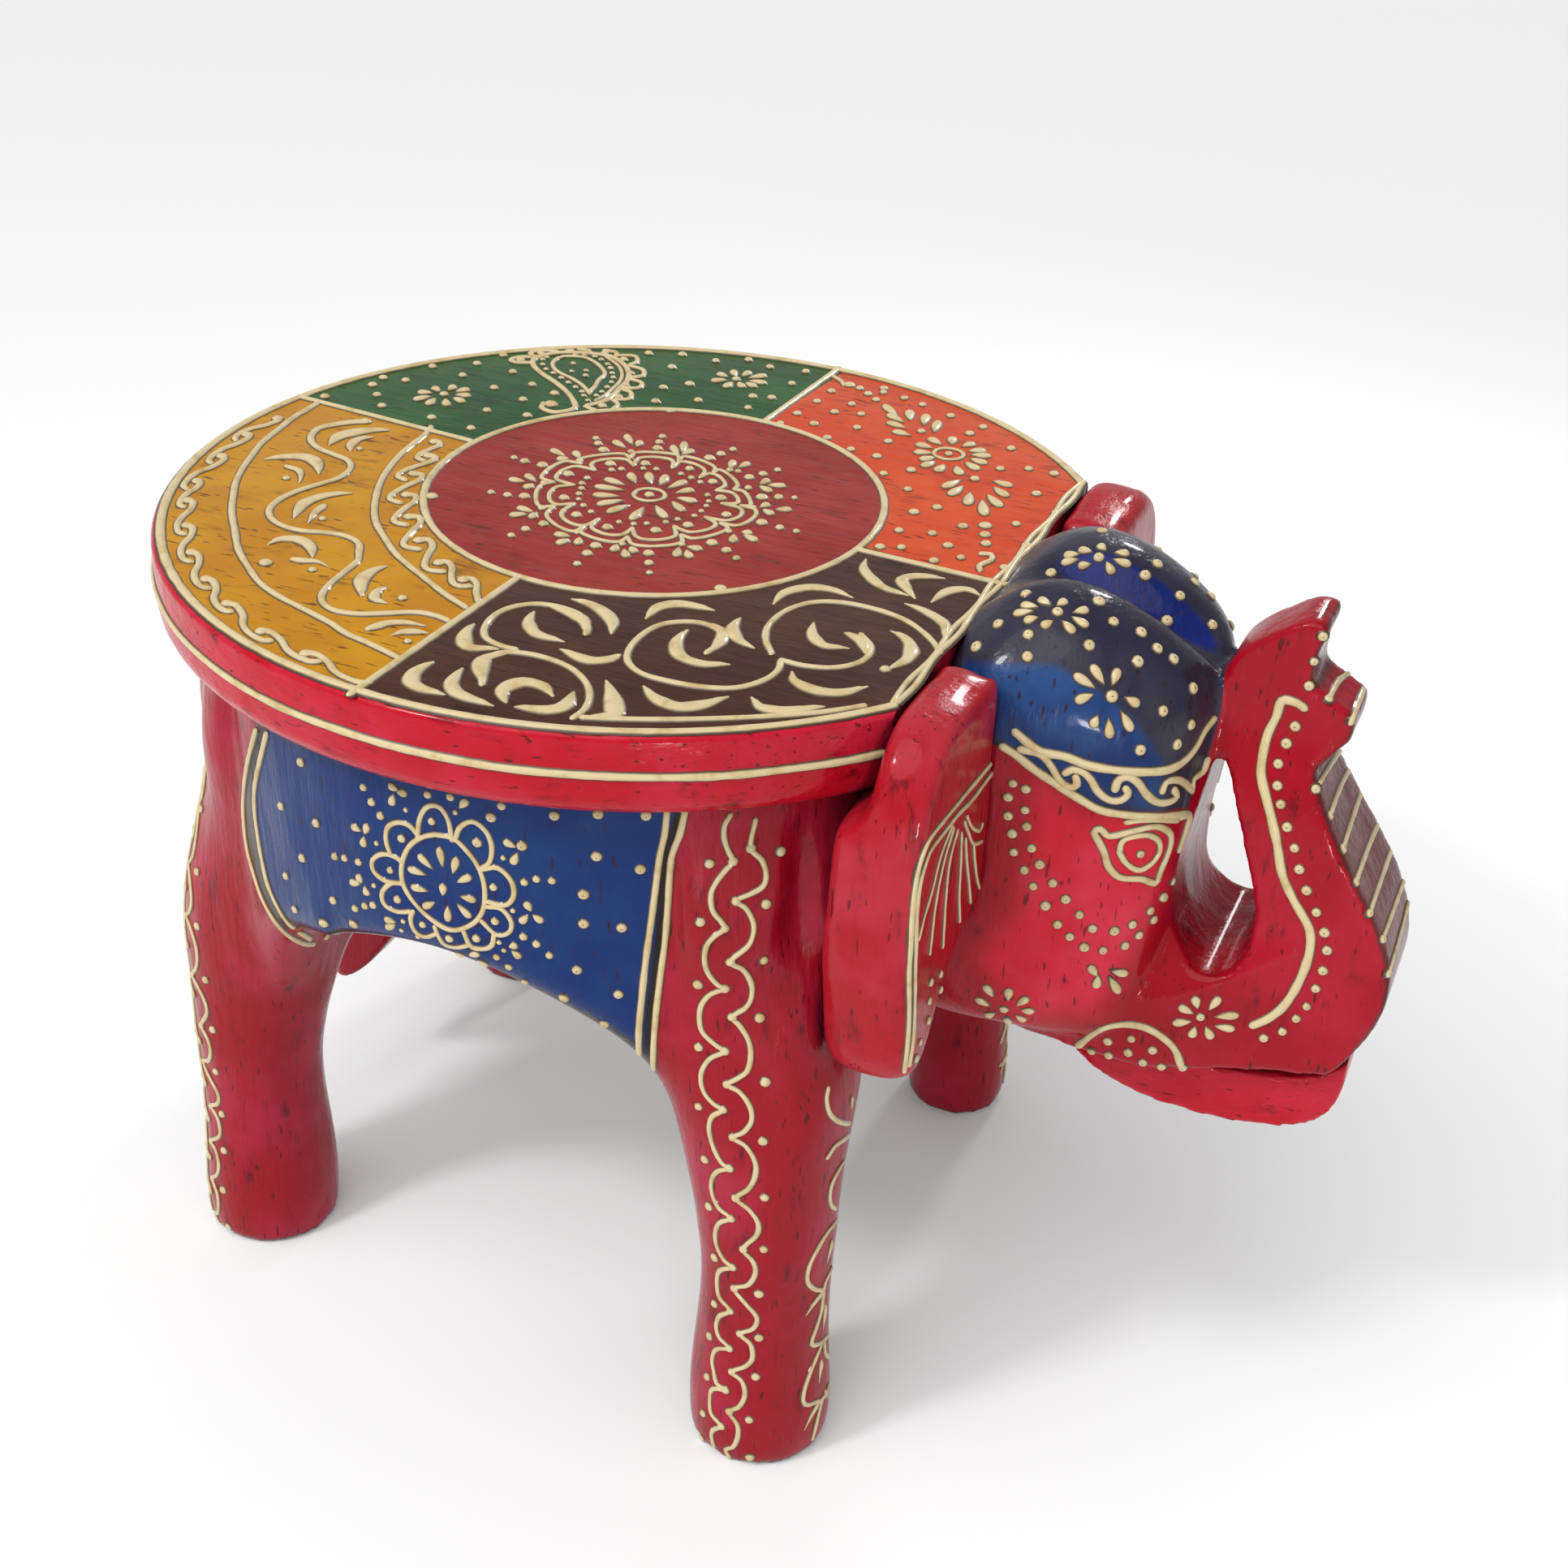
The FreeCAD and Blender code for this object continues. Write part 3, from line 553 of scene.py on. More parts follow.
dot_rows = (
    ((837, 582), (847, 555), (857, 525)), ((935, 628), (950, 602), (965, 573)),
    ((990, 697), (1015, 683), (1040, 672)), ((1033, 795), (1068, 800), (1098, 800)),
    ((995, 910), (1028, 925), (1055, 945)), ((923, 997), (940, 1030), (957, 1062)),
    ((835, 1012), (837, 1045), (842, 1088)), ((720, 977), (705, 1010), (697, 1043)),
    ((637, 892), (610, 902), (580, 905)), ((597, 757), (562, 757), (538, 752)),
    ((657, 642), (635, 620), (620, 600)), ((737, 587), (727, 560), (720, 533)))
for row in dot_rows:
    for place, radius in zip(row, (1.5, 1.25, 1.0)):
        middle.dot(on_seat(*place), radius * mm)
sprigs = (
    (770, 545, 785, 585), (760, 570, 785, 603), (795, 570, 787, 595), (907, 575, 900, 600),
    (882, 580, 890, 610), (1000, 635, 975, 645), (968, 628, 965, 650), (988, 665, 965, 655),
    (1050, 725, 1030, 735), (1010, 725, 1005, 740), (1030, 753, 1012, 745), (1050, 865, 1025, 855),
    (1030, 845, 1020, 850), (1022, 885, 1012, 860), (985, 975, 970, 955), (965, 980, 955, 950),
    (985, 942, 965, 945), (895, 1022, 880, 1000), (898, 1000, 885, 990), (868, 1010, 865, 990),
    (780, 1030, 788, 1010), (762, 1003, 785, 1000), (805, 1015, 798, 995), (660, 970, 680, 955),
    (657, 940, 685, 943), (690, 960, 690, 940), (585, 840, 610, 837), (600, 813, 625, 828),
    (622, 855, 628, 840), (583, 690, 615, 702), (612, 717, 625, 708), (622, 680, 640, 700),
    (665, 565, 690, 595), (660, 600, 690, 615), (698, 580, 702, 600))
for u, v, tip_u, tip_v in sprigs:
    middle.drop(on_seat(u, v), on_seat(tip_u, tip_v), 2.4 * mm)
sprig_dots = (
    (892, 615), (907, 613), (953, 672), (995, 745), (1000, 855), (955, 940), (870, 985), (785, 980),
    (687, 923), (637, 825), (643, 707), (703, 625))
for u, v in sprig_dots:
    middle.dot(on_seat(u, v), 0.95 * mm)
middle.placed("middle_ornament", "seat_paint")

# Yellow sector
# Two long arcs with a band of hooked strokes along each, and a vine of leaves running between them.
yellow = Relief(flat_sink)


def headed(t):
    return 1 + 0.75 * math.exp(-t * 14)


def leaf_shape(t):
    return max(0.16, math.sin(math.pi * min(t, 0.98)) ** 0.75)


def thick_start(t):
    return max(0.16, (1 - t) ** 0.7 * min(1, 0.55 + t * 3))


outer_arc = (
    (85, 690), (97, 740), (102, 790), (112, 850), (122, 910), (140, 965), (160, 1020), (185, 1075),
    (215, 1125), (255, 1185), (300, 1240), (350, 1300), (400, 1345), (450, 1385), (500, 1410),
    (560, 1430), (620, 1450), (660, 1468), (700, 1478), (768, 1498))
inner_arc = (
    (338, 700), (348, 740), (353, 790), (360, 840), (375, 900), (392, 950), (415, 1000), (445, 1055),
    (480, 1105), (530, 1155), (575, 1195), (620, 1225), (670, 1255), (720, 1285), (768, 1308))
vine = (
    (225, 735), (205, 750), (185, 775), (170, 805), (175, 835), (195, 865), (225, 885), (260, 895),
    (295, 905), (315, 925), (325, 955), (325, 985), (312, 1020), (298, 1060), (292, 1100), (298, 1140),
    (320, 1170), (355, 1190), (395, 1192), (430, 1180), (465, 1175), (500, 1188), (520, 1218),
    (535, 1245), (540, 1290), (545, 1340), (555, 1375), (575, 1400), (605, 1412), (640, 1405),
    (680, 1380), (715, 1358), (745, 1355), (768, 1360))
for path in (outer_arc, inner_arc):
    yellow.line(sheet_path(path), 1.7 * mm)
yellow.line(sheet_path(vine), 1.7 * mm, headed)
yellow_end = 775
hook_bands = (
    (((380, 757), (405, 818), (425, 900), (463, 985), (515, 1060), (578, 1132), (650, 1190), (715, 1225)),
     ((0, 0), (0.05, 0.166), (0.32, 0.13), (0.63, -0.07), (1.02, -0.265), (1.24, -0.25), (1.365, -0.06))),
    (((60, 800), (58, 895), (82, 1000), (108, 1115), (147, 1190), (212, 1272), (282, 1355), (362, 1425),
      (440, 1483), (540, 1540), (640, 1567)),
     ((0, 0), (0.117, 0.152), (0.42, 0.057), (0.69, -0.19), (0.97, -0.30), (1.255, -0.257), (1.33, -0.1))))
for blobs, stroke in hook_bands:
    for number, blob in enumerate(blobs):
        start = Vector(blob)
        if number + 1 < len(blobs):
            run = Vector(blobs[number + 1]) - start
        hook = [start + run * along + Vector((run.y, -run.x)) * across for along, across in stroke]
        hook = [spot for spot in hook if spot.x < yellow_end]
        yellow.line(sheet_path(hook), 1.7 * mm, headed)
        yellow.dot(on_seat(*blob), 1.45 * mm)
yellow_leaves = (
    (34, ((280, 750), (245, 775), (222, 815), (228, 860))),
    (20, ((275, 790), (258, 815), (262, 845), (275, 865))),
    (28, ((170, 970), (200, 940), (230, 928), (260, 945), (285, 978))),
    (26, ((380, 1022), (350, 1050), (335, 1090), (345, 1130), (355, 1155))),
    (26, ((378, 1260), (385, 1235), (410, 1222), (440, 1235), (465, 1265))),
    (26, ((585, 1240), (575, 1270), (578, 1300), (600, 1335), (610, 1350))),
    (20, ((625, 1305), (622, 1330), (635, 1350), (660, 1352))),
    (16, ((720, 1440), (735, 1420), (765, 1408))))
for width, path in yellow_leaves:
    yellow.line(sheet_path(path), width / sheet_scale, leaf_shape)
yellow_strokes = (
    (18, ((220, 980), (250, 985), (270, 1010), (280, 1030))), (20, ((370, 1090), (372, 1120), (385, 1158))),
    (20, ((445, 1290), (465, 1285), (485, 1278), (508, 1285))),
    (24, ((680, 1440), (695, 1410), (720, 1395), (748, 1390))))
for width, path in yellow_strokes:
    yellow.line(sheet_path(path), width / sheet_scale, thick_start)
for u, v in ((285, 850), (250, 1023), (397, 1135), (493, 1307), (668, 1327), (752, 1447)):
    yellow.dot(on_seat(u, v), 1.0 * mm)
for u, v in ((222, 735), (415, 1320)):
    yellow.dot(on_seat(u, v), 1.8 * mm)
yellow.placed("yellow_sector_ornament", "seat_paint")

# Brown sector
# Curled circles, each with a leaf in it, and pairs of brushed leaves in the spaces.
brown = Relief(flat_sink)
brown_lines = (
    ((970, 1300), (960, 1275), (935, 1250), (905, 1240), (870, 1242), (845, 1255), (825, 1285), (820, 1320),
     (830, 1360), (850, 1385), (880, 1395), (905, 1395)),
    ((915, 1512), (895, 1480), (880, 1445), (890, 1415), (920, 1400), (960, 1398), (1005, 1410),
     (1045, 1440), (1070, 1480), (1080, 1520), (1085, 1565)),
    ((1155, 1270), (1158, 1235), (1145, 1200), (1110, 1185), (1080, 1195), (1055, 1220), (1045, 1260),
     (1048, 1310), (1065, 1350), (1100, 1375), (1150, 1378), (1200, 1370), (1240, 1350), (1265, 1310),
     (1270, 1270), (1262, 1240)),
    ((1240, 1225), (1215, 1190), (1200, 1150), (1198, 1110), (1205, 1075), (1225, 1040), (1260, 1018),
     (1310, 1012), (1360, 1020), (1400, 1040), (1440, 1075), (1462, 1105)),
    ((1263, 1240), (1300, 1240), (1340, 1225), (1365, 1195), (1370, 1160), (1360, 1130), (1335, 1105)),
    ((1095, 1555), (1130, 1540), (1200, 1505), (1300, 1450), (1400, 1390), (1455, 1340)))
for path in brown_lines:
    brown.line(sheet_path(path), 1.6 * mm)
brown_leaves = (
    (24, ((970, 1298), (945, 1262), (915, 1250), (880, 1245))),
    (26, ((918, 1512), (888, 1470), (878, 1440), (900, 1410))),
    (22, ((1110, 1180), (1145, 1195), (1158, 1235), (1155, 1275))),
    (24, ((1310, 1110), (1345, 1125), (1365, 1160))),
    (26, ((895, 1205), (930, 1208), (960, 1222), (985, 1245), (1002, 1280))),
    (24, ((865, 1270), (875, 1305), (905, 1335), (955, 1338))),
    (26, ((960, 1362), (995, 1372), (1020, 1372), (1040, 1355), (1045, 1335))),
    (26, ((807, 1350), (812, 1385), (838, 1420), (880, 1405))),
    (28, ((818, 1485), (812, 1530), (840, 1570), (885, 1575))),
    (26, ((865, 1482), (875, 1530), (910, 1560), (965, 1578))),
    (30, ((1020, 1495), (990, 1475), (960, 1480), (950, 1515), (972, 1545))),
    (28, ((1040, 1470), (1048, 1510), (1035, 1545), (992, 1560))),
    (30, ((1065, 1418), (1090, 1450), (1115, 1490), (1125, 1520), (1108, 1545), (1095, 1555))),
    (26, ((1097, 1215), (1100, 1260), (1125, 1298), (1165, 1305), (1200, 1288))),
    (26, ((1025, 1210), (1025, 1165), (1050, 1140), (1105, 1135))),
    (24, ((1150, 1140), (1155, 1180), (1180, 1210), (1210, 1222))),
    (22, ((1255, 1100), (1270, 1140), (1300, 1165), (1335, 1155))),
    (24, ((1370, 1070), (1400, 1085), (1420, 1115), (1425, 1150), (1410, 1195))),
    (26, ((1290, 1265), (1305, 1290), (1345, 1302), (1380, 1290), (1405, 1255))),
    (26, ((1270, 1365), (1300, 1390), (1345, 1392), (1390, 1358))),
    (30, ((1120, 1408), (1150, 1432), (1190, 1440), (1220, 1415), (1240, 1380))),
    (22, ((1240, 845), (1250, 880), (1275, 910), (1310, 935), (1350, 940))),
    (24, ((1378, 853), (1335, 868), (1320, 890), (1340, 920), (1362, 945))),
    (22, ((1450, 885), (1425, 875), (1400, 895), (1390, 945))),
    (22, ((1355, 970), (1400, 985), (1435, 1010), (1452, 1055))),
    (24, ((1275, 990), (1235, 980), (1200, 990), (1175, 1025), (1175, 1070))))
for width, path in brown_leaves:
    brown.line(sheet_path(path), width / sheet_scale, leaf_shape)
brown.dot(on_seat(1408, 1193), 1.3 * mm)
brown.placed("brown_sector_ornament", "seat_paint")

# Green sector
# A large paisley with scalloped back, two flowers and scattered dots.
green = Relief(flat_sink)
green_lines = (
    (1.7, ((515, 480), (500, 458), (465, 420), (420, 385), (370, 352), (335, 318), (318, 280), (316, 245),
           (330, 212), (365, 194), (410, 193), (450, 205), (490, 232), (518, 268), (535, 310), (542, 355),
           (548, 400), (545, 435), (530, 465))),
    (1.1, ((438, 210), (478, 238), (505, 272), (522, 312), (529, 356), (534, 400), (531, 430))),
    (1.3, ((360, 240), (360, 270), (368, 300), (395, 330), (440, 352), (475, 375), (505, 405))),
    (1.3, ((500, 400), (495, 365), (485, 330), (480, 295), (455, 265), (420, 240), (385, 232), (362, 240))),
    (1.5, ((450, 190), (478, 172), (503, 200), (500, 228))),
    (1.5, ((500, 232), (535, 240), (548, 270), (535, 290))),
    (1.5, ((535, 298), (565, 305), (570, 335), (545, 348))),
    (1.5, ((545, 355), (570, 362), (582, 395), (560, 410))), (1.5, ((560, 415), (578, 430), (580, 455))),
    (1.5, ((345, 160), (372, 165), (385, 185))), (1.5, ((400, 148), (430, 155), (450, 190))),
    (1.5, ((320, 205), (285, 205), (272, 235), (300, 262), (318, 270))),
    (1.5, ((315, 275), (285, 280), (275, 305), (300, 328), (330, 315))),
    (1.7, ((515, 480), (515, 500), (495, 525), (465, 518), (455, 495))), (1.5, ((530, 470), (560, 480))))
for width, path in green_lines:
    green.line(sheet_path(path), width * mm)
paisley_dots = (
    (332, 262), (338, 285), (352, 310), (370, 330), (392, 342), (418, 357), (442, 373), (465, 388),
    (487, 403), (500, 420), (518, 438), (370, 215), (388, 210), (415, 215), (437, 228), (460, 245),
    (475, 262), (490, 285), (503, 305), (512, 330), (517, 358), (520, 385), (520, 408), (335, 190),
    (400, 275), (418, 315), (440, 298), (452, 322))
for u, v in paisley_dots:
    green.dot(on_seat(u, v), 0.85 * mm)
green_petals = (
    (267, 505, 270, 525), (295, 505, 283, 525), (312, 530, 290, 538), (318, 560, 295, 552),
    (303, 588, 285, 562), (273, 600, 270, 570), (243, 592, 258, 565), (232, 558, 252, 550),
    (243, 528, 258, 537), (692, 160, 703, 180), (718, 150, 716, 175), (750, 150, 728, 178),
    (765, 185, 735, 190), (755, 210, 735, 203), (737, 222, 722, 208), (712, 238, 714, 210),
    (680, 222, 700, 205), (675, 185, 695, 190))
for u, v, tip_u, tip_v in green_petals:
    green.drop(on_seat(u, v), on_seat(tip_u, tip_v), 2.6 * mm)
green_dots = (
    (475, 205), (523, 268), (542, 330), (560, 393), (555, 450), (297, 232), (297, 303), (415, 175),
    (342, 188), (272, 545), (712, 193), (682, 50), (812, 70), (740, 90), (552, 95), (633, 115),
    (490, 125), (575, 195), (815, 160), (645, 262), (778, 262), (610, 305), (795, 322), (697, 333),
    (630, 378), (230, 275), (230, 362), (322, 375), (388, 417), (447, 437), (147, 410), (250, 440),
    (335, 468), (412, 495), (172, 518), (120, 565), (382, 577), (458, 562), (167, 610), (205, 653),
    (314, 658), (402, 668), (65, 660), (100, 515), (812, 250))
for u, v in green_dots:
    green.dot(on_seat(u, v), 1.3 * mm)
green.dot(on_seat(468, 490), 2.0 * mm)
green.placed("green_sector_ornament", "seat_paint")

# Orange sector
# A ringed flower, two fans of drops, a few chains of dots and a strewing of single ones.
orange = Relief(flat_sink)
orange_drops = (
    (1020, 185, 1060, 225), (1070, 190, 1085, 230), (1105, 195, 1115, 240), (1135, 215, 1145, 265),
    (1045, 225, 1080, 245), (1060, 262, 1095, 270), (1085, 297, 1115, 300), (1187, 278, 1195, 305),
    (1225, 285, 1213, 305), (1252, 305, 1230, 320), (1268, 325, 1240, 335), (1272, 358, 1245, 352),
    (1270, 390, 1243, 372), (1252, 425, 1235, 395), (1215, 430, 1216, 400), (1187, 422, 1197, 395),
    (1175, 395, 1190, 378), (1155, 370, 1180, 362), (1145, 335, 1172, 338), (1155, 300, 1180, 315),
    (1345, 435, 1315, 430), (1355, 480, 1325, 455), (1360, 527, 1325, 490), (1350, 575, 1325, 515),
    (1310, 545, 1297, 495), (1272, 520, 1278, 475), (1252, 495, 1265, 450))
for u, v, tip_u, tip_v in orange_drops:
    orange.drop(on_seat(u, v), on_seat(tip_u, tip_v), 3.0 * mm)
orange.line(round_path(1205, 350, 27, 27, 16), 1.2 * mm)
orange.line(sheet_path(((870, 65), (885, 85), (905, 115))), 1.4 * mm)
orange.line(sheet_path(((1400, 735), (1415, 730), (1422, 750), (1412, 780), (1420, 798))), 1.6 * mm)
orange_dots = (
    (985, 75), (1035, 120), (1078, 137), (1145, 165), (1225, 178), (988, 115), (898, 160), (958, 205),
    (895, 225), (945, 260), (993, 245), (887, 302), (935, 335), (1012, 313), (880, 365), (983, 387),
    (1087, 348), (1042, 418), (1095, 425), (1205, 235), (1298, 265), (1355, 345), (1310, 370),
    (1420, 328), (1402, 447), (1172, 455), (1135, 495), (1198, 540), (1270, 590), (1412, 590),
    (1457, 510), (1242, 628), (1335, 643), (1455, 665), (1300, 697), (1247, 713), (1340, 730),
    (1275, 775), (1375, 765), (1243, 790), (1340, 798), (1450, 767), (940, 118), (965, 138), (990, 160),
    (1123, 270), (1205, 350), (1285, 437))
for u, v in orange_dots:
    orange.dot(on_seat(u, v), 1.3 * mm)
for u, v, radius in ((915, 110, 1.8), (1368, 622, 1.8), (1380, 658, 1.5), (1393, 692, 1.4)):
    orange.dot(on_seat(u, v), radius * mm)
orange.placed("orange_sector_ornament", "seat_paint")

# Rim line
# One bead all along the rim below the eased edge.
rim = Relief(flat_sink)
rim_line_height = 194 * mm
rim_start = math.acos((seat_high[0] - seat_middle.x) / seat_radius) * 1.03
rim_spots = []
for part in range(561):
    angle = rim_start + (math.tau - rim_start * 2) * part / 560
    outward = Vector((math.cos(angle), math.sin(angle), 0))
    waver = 0.25 * mm * noise.noise(outward * 6)
    place = seat_middle + outward * seat_radius + Vector((0, 0, rim_line_height + waver))
    rim_spots.append((place, outward))
rim.line(rim_spots, 1.9 * mm)
rim.placed("rim_line", "seat_paint")

# Body and legs
# A sawn block with four posts let into its corners, rasped to one flowing shape, painted red and varnished.
# A cloth is painted on each flank: blue and navy, with a dark border between two raised lines.
body_names = ("body_block", "leg_front_right", "leg_front_left", "leg_rear_right", "leg_rear_left")
belly_reach = 98.5 * mm
flank_slope = 0.62
shoulder_height = 104 * mm
shoulder_reach = 40 * mm
haunch_front = seat_middle.x - 30 * mm
haunch_fade = 25 * mm
haunch_clear = 6 * mm
border_width = 3 * mm
# Towards the rear and top the cloth is painted a paler steel blue: painted light where it turns to the
# lamp.
lit_cloth_edge = -30 * mm
lit_cloth_height = 150 * mm
lit_cloth_fade = 30 * mm
pixels_per_metre = 4900
cloth_outline = (
    (316, 700), (316, 906), (307, 935), (302, 969), (301, 1004), (305, 1042), (313, 1073), (323, 1104),
    (336, 1129), (353, 1150), (373, 1162), (384, 1180), (500, 1240), (800, 1420), (805, 1338), (807, 1308),
    (809, 1262), (815, 1208), (821, 1162), (825, 1115), (827, 1081), (830, 1054), (839, 1027), (846, 1004),
    (846, 700))


def carved(names, piece_name, voxel, smoothing, rasped=None):
    # One skin over copies of the CAD solids, with their joints closed by glue and paint. Its edges are worn
    # by smoothing, and far more where rasped gives a weight for a place. The bores' own skins are dropped.
    bpy.ops.object.select_all(action="DESELECT")
    for name in names:
        copy = bpy.data.objects.new(name + "_copy", nodes[name].data.copy())
        scene.collection.objects.link(copy)
        copy.select_set(True)
        bpy.context.view_layer.objects.active = copy
    if len(names) > 1:
        bpy.ops.object.join()
    piece = bpy.context.object
    piece.name = piece_name
    bpy.ops.object.mode_set(mode="EDIT")
    bpy.ops.mesh.select_all(action="SELECT")
    bpy.ops.mesh.remove_doubles(threshold=0.01 * mm)
    bpy.ops.object.mode_set(mode="OBJECT")
    skin = piece.modifiers.new("skin", "REMESH")
    skin.mode = "VOXEL"
    skin.voxel_size = voxel
    bpy.ops.object.modifier_apply(modifier="skin")
    worn = piece.modifiers.new("worn", "SMOOTH")
    worn.factor = 0.5
    worn.iterations = smoothing
    bpy.ops.object.modifier_apply(modifier="worn")
    if rasped:
        zone = piece.vertex_groups.new(name="rasped")
        for vertex in piece.data.vertices:
            zone.add([vertex.index], rasped(vertex.co), "REPLACE")
        flow = piece.modifiers.new("flow", "SMOOTH")
        flow.factor = 0.6
        flow.iterations = 130
        flow.vertex_group = "rasped"
        bpy.ops.object.modifier_apply(modifier="flow")
    bpy.ops.object.mode_set(mode="EDIT")
    bpy.ops.mesh.separate(type="LOOSE")
    bpy.ops.object.mode_set(mode="OBJECT")
    parts = list(bpy.context.selected_objects)
    piece = max(parts, key=lambda part: len(part.data.vertices))
    for part in parts:
        if part is not piece:
            bpy.data.objects.remove(part)
    piece.name = piece_name
    bpy.ops.object.select_all(action="DESELECT")
    piece.select_set(True)
    bpy.context.view_layer.objects.active = piece
    piece.data.materials.clear()
    piece.data.shade_smooth()
    return piece


def pixel_of(place):
    offset = place - camera_place
    scale = focal_pixels / -offset.dot(back)
    return (picture_middle + offset.dot(rolled_right) * scale,
            picture_middle - offset.dot(rolled_up) * scale)


def inside_by(outline, px, py):
    # Distance in pixels to the outline, positive inside it.
    inside = False
    nearest = 1e9
    for one in range(len(outline)):
        ax, ay = outline[one - 1]
        bx, by = outline[one]
        if (ay > py) != (by > py) and px < (bx - ax) * (py - ay) / (by - ay) + ax:
            inside = not inside
        run_x, run_y = bx - ax, by - ay
        share = ((px - ax) * run_x + (py - ay) * run_y) / (run_x * run_x + run_y * run_y)
        share = max(0, min(1, share))
        nearest = min(nearest, (px - ax - run_x * share) ** 2 + (py - ay - run_y * share) ** 2)
    return math.sqrt(nearest) * (1 if inside else -1)


def painted_area(piece, name, outline, limit=None):
    # Writes how far inside an outline in the photograph each vertex is. The far side mirrors the near one.
    values = []
    for vertex in piece.data.vertices:
        near = Vector((vertex.co.x, -abs(vertex.co.y), vertex.co.z))
        value = inside_by(outline, *pixel_of(near)) / pixels_per_metre
        if limit:
            value = min(value, limit(vertex))
        values.append(value)
    marked(piece.data, name, values)


def on_flank(vertex):
    # The cloth lies on the block's two sides, outside its core and not round its front or back.
    along = vertex.co.x - seat_middle.x
    return min(math.hypot(along, vertex.co.y) - belly_reach, abs(vertex.co.y) - flank_slope * abs(along))


def shoulders(place):
    # The heights where the posts run into the block are rasped to one flow, and so are the haunches above.
    if shoulder_height < place.z < seat_low[2] - haunch_clear and place.x < haunch_front:
        return min(1, (haunch_front - place.x) / haunch_fade)
    return max(0, 1 - abs(place.z - shoulder_height) / shoulder_reach) ** 0.5


body = carved(body_names + ("leg_dowels",), "carved_body", 1.55 * mm, 7, shoulders)
painted_area(body, "cloth", cloth_outline, on_flank)
# Marks the cloth's rear and upper part for paler steel blue, as painted light.
lit_cloth_values = []
for depth, vertex in zip(body.data.attributes["cloth"].data, body.data.vertices):
    behind = lit_cloth_edge + (vertex.co.z - lit_cloth_height) * 0.6 - vertex.co.x > 0
    lit_cloth_values.append(min(depth.value - border_width, lit_cloth_fade) if behind else 0)
marked(body.data, "lit_cloth", lit_cloth_values)
# Crimson lacquer brushed over red earth, deepening where it is worn. The cloth is dark brown along its
# border and ultramarine within, and towards the rear and top it is painted paler steel blue as painted
# light.
body_areas = (
    ("cloth", 0.0, 0.5 * mm, "1E1614", "2A201E"), ("cloth", 2.6 * mm, 3.2 * mm, "082A68", "12366C"),
    ("lit_cloth", 0.0, lit_cloth_fade, "28587C", "346488"))
body_red = painted_wood("body_red_lacquer", "980A1E", "A81C36", "4A0A1A", body_areas,
                        (1, 1, 0.18), 0.26, 0.4)
body.data.materials.append(body_red)
finished(body, "red_lacquer", *body_names)
body_skin = BVHTree.FromObject(body, bpy.context.evaluated_depsgraph_get())
jump = 5 * mm
slant_limit = 0.12


def eased(spots):
    # Averages the normals along a run, and cuts it where it jumps to another face.
    runs, run = [], []
    for number, (place, normal) in enumerate(spots):
        near = spots[max(0, number - 2):number + 3]
        normal = sum((one[1] for one in near), Vector()).normalized()
        if run and (place - run[-1][0]).length > jump:
            runs.append(run)
            run = []
        run.append((place, normal))
    runs.append(run)
    return [run for run in runs if len(run) > 1]


def sight(px, py):
    across = rolled_right * ((px - picture_middle) / focal_pixels)
    upward = rolled_up * ((picture_middle - py) / focal_pixels)
    return (across + upward - back).normalized()


def cast(skin, px, py, far_skin=None):
    # The spot on a piece that a pixel of the photograph shows, or its mirror image on a far side's skin.
    place, normal, _, _ = skin.ray_cast(camera_place, sight(px, py))
    if place is None or abs(normal.dot(sight(px, py))) < slant_limit:
        return None
    if far_skin:
        place, normal, _, _ = far_skin.find_nearest(Vector((place.x, -place.y, place.z)))
    return place, normal


def cast_lines(relief, skin, lines, far_skin=None):
    for width, path in lines:
        spots = [cast(skin, spot.x, spot.y, far_skin) for spot in through(path, 5)]
        for run in eased([spot for spot in spots if spot]):
            relief.line(run, width * mm)


def cast_dots(relief, skin, dots, radius, far_skin=None):
    # Dots over a millimetre in radius keep the prick of the cone's tip.
    for px, py in dots:
        spot = cast(skin, px, py, far_skin)
        if spot:
            relief.dot(spot, radius * mm, radius > 1)


def cast_drops(relief, skin, drops, width, far_skin=None):
    for px, py, tip_x, tip_y in drops:
        spot, tip = cast(skin, px, py, far_skin), cast(skin, tip_x, tip_y, far_skin)
        if spot and tip:
            relief.drop(spot, tip, width * mm)


